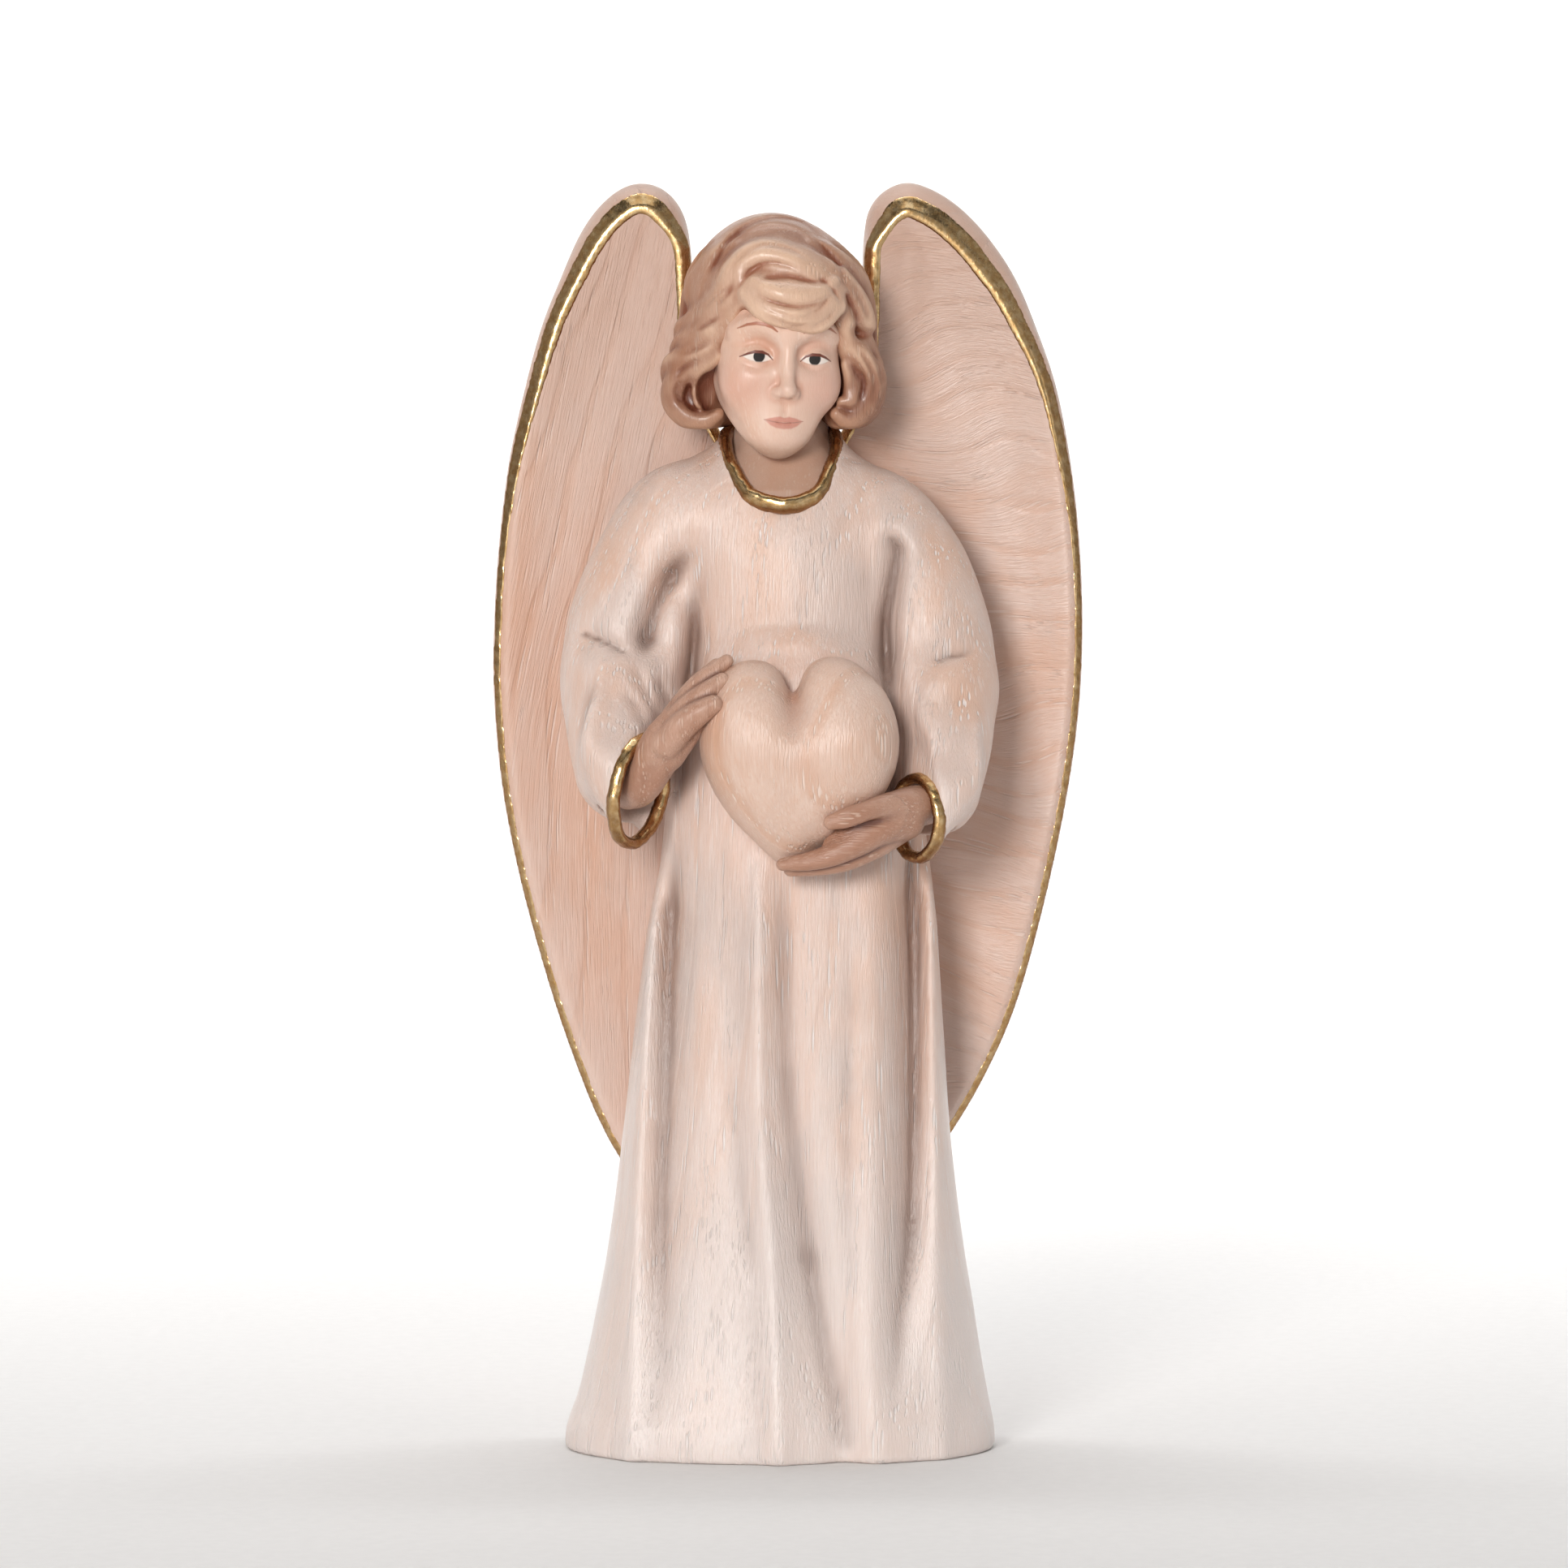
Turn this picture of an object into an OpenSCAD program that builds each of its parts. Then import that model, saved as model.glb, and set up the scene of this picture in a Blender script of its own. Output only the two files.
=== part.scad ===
// Carved angel figurine holding a heart, with two wing boards doweled to its back.
// Millimetres. The origin is the centre of the hem's flat base, +Z is up and the angel faces -Y.
// Left and right are the angel's own, so its right hand is on the -X side.

/* [Figure] */
// Height from the base to the wing tips; every other size follows it
figure_h = 160; // [100:5:300]
// Width of the hem
hem_w = 54.4; // [50:0.2:58]
// Depth of the hem
hem_d = 34; // [31:0.5:37]
// How deep the robe's folds are carved, as a share of the design
fold_depth = 1; // [0.5:0.1:1.4]

/* [Wings] */
// Thickness of a wing board
wing_t = 5.5; // [5:0.1:6.5]
// How far the wings lean forward, in degrees
wing_lean = 3; // [2:0.5:4]
// Radius of the hollow carved into a wing's front
wing_cup_r = 95; // [80:5:130]
// Width of the gilded strip along a wing's edge
wing_rim_w = 1.9; // [1.2:0.1:2.4]
// Depth of the gilded strip
wing_rim_t = 1.2; // [0.8:0.1:1.6]

/* [Head] */
// Turn of the head towards the angel's left, in degrees
head_turn = 12; // [0:1:20]
// Nod of the head, in degrees
head_nod = 5; // [0:1:8]
// Sideways lean of the head, in degrees
head_lean = 3; // [0:1:5]

/* [Heart] */
// Thickness of the heart, front to back
heart_t = 13.4; // [12:0.2:14.4]

/* [Trim and dowels] */
// Diameter of the gilded bead round the neckline
collar_bead_d = 1.7; // [1.2:0.1:2]
// Diameter of the gilded bead round a cuff
cuff_bead_d = 1.5; // [1.1:0.1:1.8]
// Diameter of a wing dowel
wing_dowel_d = 3; // [2:0.5:3.5]
// Diameter of the dowel between the neck and the robe
neck_dowel_d = 4; // [3:0.5:4.5]
// Diameter of the dowel between the heart and the robe
heart_dowel_d = 3; // [2:0.5:3.5]

/* [Hidden] */

design_h = 160;
k = figure_h / design_h;
far = 400;
glue_gap = 0.05;

// Colours of the washed wood, the stains and the gilding
robe_colour = [0.90, 0.82, 0.78];
skin_colour = [0.86, 0.72, 0.62];
hair_colour = [0.66, 0.49, 0.38];
heart_colour = [0.87, 0.74, 0.66];
wing_colour = [0.87, 0.71, 0.62];
gold_colour = [0.75, 0.60, 0.30];
dowel_colour = [0.80, 0.66, 0.48];

// Robe stations from the hem up: height, middle x, half width, front depth, back depth.
// The widths and depths of the hem come first, so that hem_w and hem_d drive the flare.
hem_front = hem_d * 0.56;
hem_back = hem_d - hem_front;
robe_stations = [
    [0, 0, hem_w / 2, hem_front, hem_back],
    [3, 0, hem_w / 2 - 0.5, hem_front - 0.4, hem_back - 0.1],
    [11, 0.2, 24.8, 17.4, 14.2],
    [20, 0.4, 23.2, 16.2, 13.6],
    [30, 0.6, 21.7, 15.1, 13],
    [40, 0.8, 20.7, 14.3, 12.4],
    [50, 1.1, 19.7, 13.7, 11.8],
    [60, 1.4, 18.6, 13.1, 11.2],
    [70, 1.7, 17.4, 12.5, 10.6],
    [80, 1.9, 16.2, 12, 10.1],
    [90, 1.8, 15.2, 11.6, 9.8],
    [100, 1.4, 14.6, 11.4, 9.6],
    [108, 1.1, 14.6, 11.2, 9.4],
    [114, 0.8, 15, 10.6, 9.2],
    [119, 0.5, 14.2, 9.6, 8.8],
    [123, 0.2, 11.6, 8.6, 7.2],
    [127, 0, 7.8, 7.2, 5.8],
    [129, 0, 6.6, 6.2, 5],
];
robe_top = 129;
// Folds of the skirt: angle from the front at the waist and at the hem, height, width in degrees.
robe_folds = [
    [-62, -47, 1.5, 9],
    [-50, -34, -1.2, 10],
    [-17, 0, 1.1, 9],
    [-7, 17, -1.2, 8],
    [30, 27, 0.7, 16],
    [57, 38, -1.9, 8],
    [70, 55, 1.4, 9],
    [128, 140, 1.2, 11],
    [-128, -140, 1.2, 11],
];
fold_top = 84;
robe_rings = 30;
robe_sides = 48;

// Sleeves: centre and radius at the neck, shoulder, upper arm, elbow and forearm.
sleeve_right = [
    [[-5.6, -0.4, 121.2], 5],
    [[-13, -1, 116.6], 7],
    [[-17.8, -2.6, 107], 7.6],
    [[-19.5, -4.4, 98], 7.8],
    [[-19.6, -7.6, 90], 7],
];
sleeve_left = [
    [[5.2, -0.4, 121.2], 5],
    [[13, -1, 116], 7],
    [[17.9, -2.6, 106], 7.6],
    [[19.3, -4.4, 96], 7.8],
    [[18.8, -8, 88], 6.6],
];
// Cuffs: centre of the mouth, turn and tilt of its normal in degrees, radius.
cuff_right = [[-17.6, -12.8, 83.8], 62, -9, 6.4];
cuff_left = [[17, -13.4, 80.2], -53, 0, 4.9];
cuff_depth = 4.4;

// The neckline, from its lowest point at the front over the shoulder to the nape and back.
collar_line = [
    [0.4, -9.6, 119.2], [4, -8.5, 120.6], [6.3, -5.4, 123.8], [6.9, -1, 126.8], [5.6, 3.4, 128.6],
    [0, 5.6, 129.2], [-5.6, 3.4, 128.9], [-6.9, -1, 127.2], [-6.2, -5.4, 124], [-3.5, -8.5, 120.7],
];
neck_top = [0, -1.6, 134];
collar_steps = 4;
bead_sides = 10;

head_centre = [-0.8, -3.6, 141];
neck_r = 4.6;
// Locks of the fringe, in the head's own frame: centres and radii.
fringe_right = [[[-8, -4.4, 3.4], 1.9], [[-6.8, -6.4, 6.8], 2.2], [[-2.6, -8, 8.4], 2.6],
                [[1.8, -8.9, 6.4], 2.6], [[5.6, -7.8, 4.6], 2]];
fringe_left = [[[2, -7, 9], 2.4], [[6, -5.8, 7.6], 2.4], [[8.4, -3.6, 4.2], 2.1], [[9.6, -1.6, 0.6], 1.8]];

heart_centre = [2.1, -16.6, 87.3];
heart_lean = 4;
heart_half_w = 12.2;
heart_half_h = 11.2;
heart_middle_z = 1.6;
heart_rings = 12;
heart_sides = 36;

// Wing outlines in the wing's own plane, from the tip behind the skirt round the outer edge,
// over the top and down the inner edge. They run past the middle, where the boards are cut.
wing_left_outline = [
    [-3, 26], [4, 23.4], [9.5, 24], [16, 30.6], [23, 39.8], [28.9, 52], [33.6, 68], [37, 85],
    [38.3, 103], [37.4, 120], [34.6, 135], [30, 146.8], [24, 155.2], [18, 159.3], [13.6, 158.6],
    [11, 154.6], [10.4, 148], [10.2, 138], [8.6, 130], [4.6, 123], [-2, 117], [-4, 90], [-4, 60],
];
wing_right_outline = [
    [3, 26], [-4, 24], [-9, 24.6], [-14.6, 30.2], [-21.6, 36.4], [-27.4, 50], [-32.4, 66.5],
    [-35.7, 83], [-36.6, 98], [-35.6, 117], [-32.2, 135], [-28, 147.4], [-23, 156.4], [-17.8, 159.3],
    [-13.6, 157.6], [-11.7, 153], [-11.1, 146], [-10.6, 137], [-8.6, 130], [-4.6, 123], [2, 117],
    [4, 90], [4, 60],
];
wing_cup_x = 19;
wing_root_y = 9.6;
wing_root_z = 90;
outline_steps = 4;

// Dowel places: x and z of the wing dowels, then the middle and the length of each kind.
wing_dowel_places = [[-6.5, 104], [-6.5, 74], [6.5, 104], [6.5, 74]];
wing_dowel_y = [3.4, 12.2];
neck_dowel_z = [108, 128];
heart_dowel_y = [-15.6, -6.4];

// ---- Shared forms -------------------------------------------------------------------------

function column(table, i) = [for (row = table) [row[0], row[i]]];

// A point of a Catmull-Rom curve through p0..p3, at t from p1 to p2.
function spline_point(p0, p1, p2, p3, t) =
    (2 * p1 + (p2 - p0) * t + (2 * p0 - 5 * p1 + 4 * p2 - p3) * t * t
     + (3 * p1 - p0 - 3 * p2 + p3) * t * t * t) / 2;

function sum(list, i = 0) = i == len(list) - 1 ? list[i] : list[i] + sum(list, i + 1);

function unit(v) = v / norm(v);

function closed_spline(points, steps) = let (n = len(points)) [
    for (i = [0 : n - 1], s = [0 : steps - 1])
        spline_point(points[(i + n - 1) % n], points[i], points[(i + 1) % n], points[(i + 2) % n],
                     s / steps)
];

// A solid through rings of equal length, closed by a flat face at each end.
module loft(rings) {
    n = len(rings[0]);
    last = len(rings) - 1;
    polyhedron(
        points = [for (ring = rings) each ring],
        faces = concat(
            [[for (i = [0 : n - 1]) i]],
            [[for (i = [n - 1 : -1 : 0]) last * n + i]],
            [for (r = [0 : last - 1], i = [0 : n - 1])
                let (a = r * n + i, b = r * n + (i + 1) % n) [a, a + n, b]],
            [for (r = [0 : last - 1], i = [0 : n - 1])
                let (a = r * n + i, b = r * n + (i + 1) % n) [b, a + n, b + n]]
        )
    );
}

module ellipsoid(centre, radii) {
    translate(centre)
        hull()
            scale(radii)
                sphere(r = 1, $fn = 24);
}

// A chain of tapered limbs through [centre, radius] joints.
module limb(joints, sides = 16) {
    for (i = [0 : len(joints) - 2])
        hull() {
            translate(joints[i][0]) sphere(r = joints[i][1], $fn = sides);
            translate(joints[i + 1][0]) sphere(r = joints[i + 1][1], $fn = sides);
        }
}

// A closed round bead along a line, its sides turned out from the line's middle.
module bead(line, d) {
    path = closed_spline(line, collar_steps);
    n = len(path);
    middle = sum(path) / n;
    points = [
        for (i = [0 : n - 1])
            let (
                along = unit(path[(i + 1) % n] - path[(i + n - 1) % n]),
                out = unit(path[i] - middle - ((path[i] - middle) * along) * along),
                up = cross(along, out)
            )
            for (s = [0 : bead_sides - 1])
                path[i] + d / 2 * (cos(360 * s / bead_sides) * out + sin(360 * s / bead_sides) * up)
    ];
    polyhedron(
        points = points,
        faces = [
            for (i = [0 : n - 1], s = [0 : bead_sides - 1], half = [0, 1])
                let (
                    a = i * bead_sides + s,
                    b = i * bead_sides + (s + 1) % bead_sides,
                    c = ((i + 1) % n) * bead_sides + s,
                    e = ((i + 1) % n) * bead_sides + (s + 1) % bead_sides
                )
                half == 0 ? [a, c, b] : [b, c, e]
        ]
    );
}

// ---- Robe ---------------------------------------------------------------------------------

// How far the folds lift the cloth at an angle from the front, at a height.
function fold_lift(angle, z) = let (down = max(0, 1 - z / fold_top)) fold_depth * sqrt(down) * (
    [for (f = robe_folds) f[2] * exp(-pow((angle - f[1] - (f[0] - f[1]) * (1 - down)) / f[3], 2))]
    * [for (f = robe_folds) 1]
);

function robe_ring(z) = [
    for (i = [0 : robe_sides - 1])
        let (
            angle = 360 * i / robe_sides - 180,
            lift = fold_lift(angle, z),
            half = lookup(z, column(robe_stations, 2)) + lift,
            deep = lookup(z, column(robe_stations, cos(angle) > 0 ? 3 : 4)) + lift
        )
        [lookup(z, column(robe_stations, 1)) + half * sin(angle), -deep * cos(angle), z]
];

module robe_form() {
    loft([for (i = [0 : robe_rings]) robe_ring(robe_top * i / robe_rings)]);
    limb(sleeve_right);
    limb(sleeve_left);
}

// Places its children at a cuff's mouth, with +Z along the way out of the sleeve.
module at_cuff(cuff) {
    translate(cuff[0])
        rotate([0, 0, cuff[1]])
            rotate([90 - cuff[2], 0, 0])
                children();
}

// The cloth from a sleeve's forearm to its mouth.
module sleeve_end(forearm, cuff) {
    hull() {
        at_cuff(cuff)
            translate([0, 0, -0.8]) cylinder(r = cuff[3] + 0.8, h = 0.8, $fn = 28);
        translate(forearm[0]) sphere(r = forearm[1], $fn = 20);
    }
}

module sleeve_mouth(cuff) {
    at_cuff(cuff)
        hull() {
            cylinder(r = cuff[3] - 0.8, h = 6, $fn = 24);
            translate([0, 0, -cuff_depth + 3]) sphere(r = 3, $fn = 16);
        }
}

module robe() {
    color(robe_colour)
        scale(k)
            difference() {
                union() {
                    robe_form();
                    sleeve_end(sleeve_right[4], cuff_right);
                    sleeve_end(sleeve_left[4], cuff_left);
                }
                sleeve_mouth(cuff_right);
                sleeve_mouth(cuff_left);
                neck_opening();
                collar_ring(glue_gap);
                cuff_ring(cuff_right, glue_gap);
                cuff_ring(cuff_left, glue_gap);
                wing_form(wing_left_outline, 1);
                wing_form(wing_right_outline, -1);
                heart_form();
                hand_right_form();
                hand_left_form();
                neck_dowel_form();
                heart_dowel_form();
                wing_dowels_form();
                translate([-far / 2, -far / 2, -far]) cube([far, far, far]);
            }
}

module collar_ring(gap = 0) {
    bead(collar_line, collar_bead_d + 2 * gap);
}

// The place where the neck meets the robe, inside the gilded bead.
module neck_seat() {
    for (p = collar_line)
        translate(p) sphere(r = 0.3, $fn = 8);
}

// The robe is open above its neckline, down to the neck's foot.
module neck_opening() {
    hull() {
        neck_seat();
        translate([0, -4.3, 20]) neck_seat();
        translate([0, -0.8, 117.4]) cylinder(r = neck_r, h = 1, $fn = 28);
    }
}

module cuff_ring(cuff, gap = 0) {
    at_cuff(cuff)
        rotate_extrude($fn = 36)
            translate([cuff[3] - 0.4, 0])
                circle(d = cuff_bead_d + 2 * gap, $fn = 14);
}

module collar_bead() {
    color(gold_colour)
        scale(k)
            collar_ring();
}

module cuff_bead_right() {
    color(gold_colour)
        scale(k)
            cuff_ring(cuff_right);
}

module cuff_bead_left() {
    color(gold_colour)
        scale(k)
            cuff_ring(cuff_left);
}

// ---- Head ---------------------------------------------------------------------------------

module at_head() {
    translate(head_centre)
        rotate([0, 0, head_turn])
            rotate([head_nod, head_lean, 0])
                children();
}

// The neck widens to fill the neckline, and its foot sits in the robe.
module neck_form() {
    hull() {
        neck_seat();
        translate(neck_top) cylinder(r = neck_r, h = 1, $fn = 28);
        translate([0, -0.8, 117.4]) cylinder(r = neck_r, h = 1, $fn = 28);
    }
}

// The skull, the cheeks and chin, the nose and the two ears.
module head_form() {
    at_head() {
        ellipsoid([0, 1.4, 3.6], [9, 10, 9.8]);
        hull() {
            translate([0, -1.8, -2.4]) scale([8.3, 8.4, 8.6]) sphere(r = 1, $fn = 24);
            translate([0, -3.6, -8]) scale([6.8, 6.8, 5.4]) sphere(r = 1, $fn = 20);
            translate([0, -6.8, -11.8]) sphere(r = 3.6, $fn = 18);
        }
        hull() {
            translate([0, -9.4, 0.6]) sphere(r = 0.7, $fn = 14);
            translate([0, -11, -4.6]) sphere(r = 1.1, $fn = 14);
            translate([0, -8.6, -5]) sphere(r = 1.7, $fn = 14);
        }
        for (side = [-1, 1])
            ellipsoid([side * 8.6, 0.8, -2.8], [1.2, 2, 3]);
        ellipsoid([0, -9.3, -7.7], [2.3, 1, 0.8]);
        for (side = [-1, 1])
            ellipsoid([side * 3.3, -8.5, -0.6], [1.7, 1, 1]);
    }
}

module head() {
    color(skin_colour)
        scale(k)
            difference() {
                union() {
                    head_form();
                    neck_form();
                }
                neck_dowel_form();
                collar_ring(glue_gap);
            }
}

// A cap of hair with a full puff over each ear, a roll at the nape and a waved fringe.
module hair_form() {
    at_head() {
        ellipsoid([0, 2.4, 3.4], [10.5, 11, 11.3]);
        ellipsoid([-10.2, 1.4, -5.4], [4.4, 5.4, 6.8]);
        ellipsoid([10, 1.4, -5.4], [3.6, 5.4, 6.8]);
        ellipsoid([-5, 7.2, -6], [6.6, 5.2, 7]);
        ellipsoid([5, 7.2, -6], [6.6, 5.2, 7]);
        hull() {
            translate([-8.2, 2.4, 3]) scale([3.4, 6.6, 5]) sphere(r = 1, $fn = 18);
            translate([-9.6, 1.8, -3]) scale([4, 5.8, 4]) sphere(r = 1, $fn = 18);
        }
        hull() {
            translate([8.2, 2.4, 3]) scale([3.4, 6.6, 5]) sphere(r = 1, $fn = 18);
            translate([9.4, 1.8, -3]) scale([3.6, 5.8, 4]) sphere(r = 1, $fn = 18);
        }
        limb(fringe_right, 14);
        limb(fringe_left, 14);
    }
}

// What the hair leaves free: the face below the fringe.
module face_window() {
    at_head() {
        hull() {
            translate([0, -13, 0.6]) scale([7.4, 8, 4.6]) sphere(r = 1, $fn = 20);
            translate([0, -13, -14]) scale([7, 12, 6]) sphere(r = 1, $fn = 20);
        }
    }
}

// The hair ends above the shoulders and the back of the robe.
module hair_clearance() {
    hull() {
        translate([0, 0, 116]) cylinder(r1 = 22, r2 = 16, h = 8, $fn = 24);
        translate([0, 0, 126]) cylinder(r = 9, h = 1.4, $fn = 24);
    }
}

module hair() {
    color(hair_colour)
        scale(k)
            difference() {
                hair_form();
                head_form();
                neck_form();
                face_window();
                collar_ring(glue_gap);
                wing_form(wing_left_outline, 1);
                wing_form(wing_right_outline, -1);
                hair_clearance();
            }
}

// ---- Heart --------------------------------------------------------------------------------

// A heart's outline at an angle from its notch, for half sizes of one.
function heart_point(a) = [
    pow(abs(sin(a)), 2.4) * sign(sin(a)),
    (11.4 * cos(a) - 3.2 * cos(2 * a) - 1.8 * cos(3 * a) - 0.6 * cos(4 * a)) / 12,
];

// One ring of the pillow-shaped heart, from its front face at -90 degrees to its back at 90.
function heart_ring(swing) = let (share = pow(cos(swing), 0.75)) [
    for (i = [0 : heart_sides - 1])
        let (p = heart_point(360 * i / heart_sides))
        [
            p[0] * heart_half_w * share,
            heart_t / 2 * sin(swing),
            heart_middle_z + (p[1] * heart_half_h - heart_middle_z) * share,
        ]
];

module heart_form() {
    translate(heart_centre)
        rotate([0, heart_lean, 0])
            loft([for (i = [0 : heart_rings]) heart_ring(-88 + 176 * i / heart_rings)]);
}

module heart() {
    color(heart_colour)
        scale(k)
            difference() {
                heart_form();
                heart_dowel_form();
            }
}

// ---- Hands --------------------------------------------------------------------------------

// A hand from the wrist through the palm to four fingers and a thumb.
module hand_form(wrist, palm, fingers, thumb) {
    limb([wrist, palm[0]], 14);
    limb(palm, 14);
    for (finger = fingers)
        limb(concat([palm[1]], finger), 12);
    limb(concat([palm[0]], thumb), 12);
}

module hand_right_form() {
    hand_form(
        [[-20.4, -10.4, 80.6], 2.1],
        [[[-16.4, -16.2, 84.6], 2.4], [[-13.6, -18.6, 90.4], 2.3]],
        [
            [[[-11.6, -17.4, 95.4], 1.4], [[-7.4, -16.2, 99.6], 0.9]],
            [[[-11.4, -19, 94.8], 1.4], [[-7, -18.6, 99.4], 0.9]],
            [[[-11.2, -20.6, 94], 1.3], [[-7.2, -21, 98], 0.9]],
            [[[-11.2, -21.4, 92.4], 1.2], [[-7.8, -22.8, 95.8], 0.8]],
        ],
        [[[-12.6, -19.8, 89.4], 1.6], [[-9.2, -22.6, 92.6], 0.9]]
    );
}

module hand_left_form() {
    hand_form(
        [[20, -10.8, 80.6], 2],
        [[[16, -16, 80.4], 2.3], [[11.6, -18.4, 77.4], 2.4]],
        [
            [[[7, -16.4, 74.2], 1.4], [[2.4, -15, 73.2], 0.9]],
            [[[6.6, -18, 74], 1.4], [[1.4, -17.4, 73.2], 0.9]],
            [[[7, -19.6, 74.4], 1.3], [[1.8, -19.8, 73.6], 0.9]],
            [[[7.6, -20.8, 75.2], 1.2], [[3, -22, 74.6], 0.8]],
        ],
        [[[11, -21.2, 80.6], 1.5], [[6.6, -23.2, 79.2], 0.9]]
    );
}

module hand_right() {
    color(skin_colour)
        scale(k)
            difference() {
                hand_right_form();
                heart_form();
                cuff_ring(cuff_right, glue_gap);
            }
}

module hand_left() {
    color(skin_colour)
        scale(k)
            difference() {
                hand_left_form();
                heart_form();
                cuff_ring(cuff_left, glue_gap);
            }
}

// ---- Wings --------------------------------------------------------------------------------

// Places its children in the leaning plane of the wings.
module at_wings() {
    translate([0, wing_root_y, wing_root_z])
        rotate([wing_lean, 0, 0])
            translate([0, 0, -wing_root_z])
                children();
}

// The layer of a wing board from one depth to another behind its hollowed front.
module wing_layer(side, near, deep) {
    translate([side * wing_cup_x, -wing_cup_r, 0])
        difference() {
            cylinder(r = wing_cup_r + deep, h = 170, $fn = 120);
            translate([0, 0, -1]) cylinder(r = wing_cup_r + near, h = 172, $fn = 120);
        }
}

module wing_prism(outline, inset = 0) {
    translate([0, 20, 0])
        rotate([90, 0, 0])
            linear_extrude(30)
                if (inset > 0) offset(delta = -inset) polygon(closed_spline(outline, outline_steps));
                else polygon(closed_spline(outline, outline_steps));
}

// The half of space on one side of the figure, where the two wing boards meet.
module own_half(side) {
    translate([side * 40, 0, 90]) cube([80, 80, 240], center = true);
}

module wing_form(outline, side) {
    at_wings()
        intersection() {
            wing_prism(outline);
            wing_layer(side, 0, wing_t);
            own_half(side);
        }
}

module wing_rim_form(outline, side) {
    at_wings()
        intersection() {
            difference() {
                wing_prism(outline);
                wing_prism(outline, wing_rim_w);
            }
            wing_layer(side, 0, wing_rim_t);
            own_half(side);
        }
}

module wing_board(outline, side) {
    color(wing_colour)
        scale(k)
            difference() {
                wing_form(outline, side);
                wing_rim_form(outline, side);
                wing_dowels_form();
            }
}

module wing_rim(outline, side) {
    color(gold_colour)
        scale(k)
            wing_rim_form(outline, side);
}

// ---- Dowels -------------------------------------------------------------------------------

module wing_dowels_form() {
    for (place = wing_dowel_places)
        translate([place[0], wing_dowel_y[1], place[1]])
            rotate([90, 0, 0])
                cylinder(d = wing_dowel_d, h = wing_dowel_y[1] - wing_dowel_y[0], $fn = 32);
}

module neck_dowel_form() {
    translate([0, -0.8, neck_dowel_z[0]])
        cylinder(d = neck_dowel_d, h = neck_dowel_z[1] - neck_dowel_z[0], $fn = 32);
}

module heart_dowel_form() {
    translate([heart_centre[0], heart_dowel_y[1], heart_centre[2]])
        rotate([90, 0, 0])
            cylinder(d = heart_dowel_d, h = heart_dowel_y[1] - heart_dowel_y[0], $fn = 32);
}

module wing_dowels() color(dowel_colour) scale(k) wing_dowels_form();
module neck_dowel() color(dowel_colour) scale(k) neck_dowel_form();
module heart_dowel() color(dowel_colour) scale(k) heart_dowel_form();

robe();
head();
hair();
heart();
hand_right();
hand_left();
collar_bead();
cuff_bead_right();
cuff_bead_left();
wing_board(wing_right_outline, -1);  // wing_right
wing_board(wing_left_outline, 1);  // wing_left
wing_rim(wing_right_outline, -1);  // wing_rim_right
wing_rim(wing_left_outline, 1);  // wing_rim_left
wing_dowels();
neck_dowel();
heart_dowel();
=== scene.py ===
"""Looks of the carved wooden angel: sculpted pieces, washed wood, gilding, floor, light and camera.

Sizes are the part's own millimetres, in its frame: the angel faces -Y and stands on z = 0.
"""
import math

import bpy
import numpy as np
import openvdb
from mathutils import Euler, Matrix, Vector


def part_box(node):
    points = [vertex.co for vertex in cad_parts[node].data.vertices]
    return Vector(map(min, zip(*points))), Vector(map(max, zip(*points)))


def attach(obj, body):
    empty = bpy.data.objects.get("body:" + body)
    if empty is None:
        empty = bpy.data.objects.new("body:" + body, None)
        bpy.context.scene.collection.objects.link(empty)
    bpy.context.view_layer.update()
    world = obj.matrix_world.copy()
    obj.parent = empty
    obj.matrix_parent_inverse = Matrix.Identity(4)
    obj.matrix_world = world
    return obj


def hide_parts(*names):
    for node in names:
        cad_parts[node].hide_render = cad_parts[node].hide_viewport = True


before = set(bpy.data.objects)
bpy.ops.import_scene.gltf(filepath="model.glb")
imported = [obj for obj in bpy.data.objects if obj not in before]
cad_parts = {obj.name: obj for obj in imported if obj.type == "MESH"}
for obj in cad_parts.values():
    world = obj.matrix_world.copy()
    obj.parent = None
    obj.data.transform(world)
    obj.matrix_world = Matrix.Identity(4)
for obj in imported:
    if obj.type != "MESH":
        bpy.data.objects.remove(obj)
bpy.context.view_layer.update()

ROBE_TOP = 128.924  # height of the part's robe in design millimetres
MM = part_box("robe")[1].z / ROBE_TOP  # metres in a design millimetre
FAR = 4.0  # the furthest distance that a lump of clay keeps
STEPS = 5  # straight stretches between two points of a limb or a stroke
BLUR = 0.6  # how far a vertex is moved towards its neighbours' middle in one round
FIT = 0.9  # how much of its distance to the clay a vertex is moved in one round
TINY = 1e-6  # keeps a root or a division away from nought

# ---- Shaping tools --------------------------------------------------------------------------


def ease(t):
    t = np.clip(t, 0, 1)
    return t * t * (3 - 2 * t)


def soft_min(a, b, k):
    """The smaller of two distances, blended where they differ by less than k."""
    if k <= 0:
        return np.minimum(a, b)
    h = np.maximum(k - np.abs(a - b), 0)
    return np.minimum(a, b) - h * h / (4 * k)


def soft_max(a, b, k):
    return -soft_min(-a, -b, k)


def length(*parts):
    """The length of a vector from its parts, never quite nought."""
    return np.sqrt(sum(part**2 for part in parts) + TINY)


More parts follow.
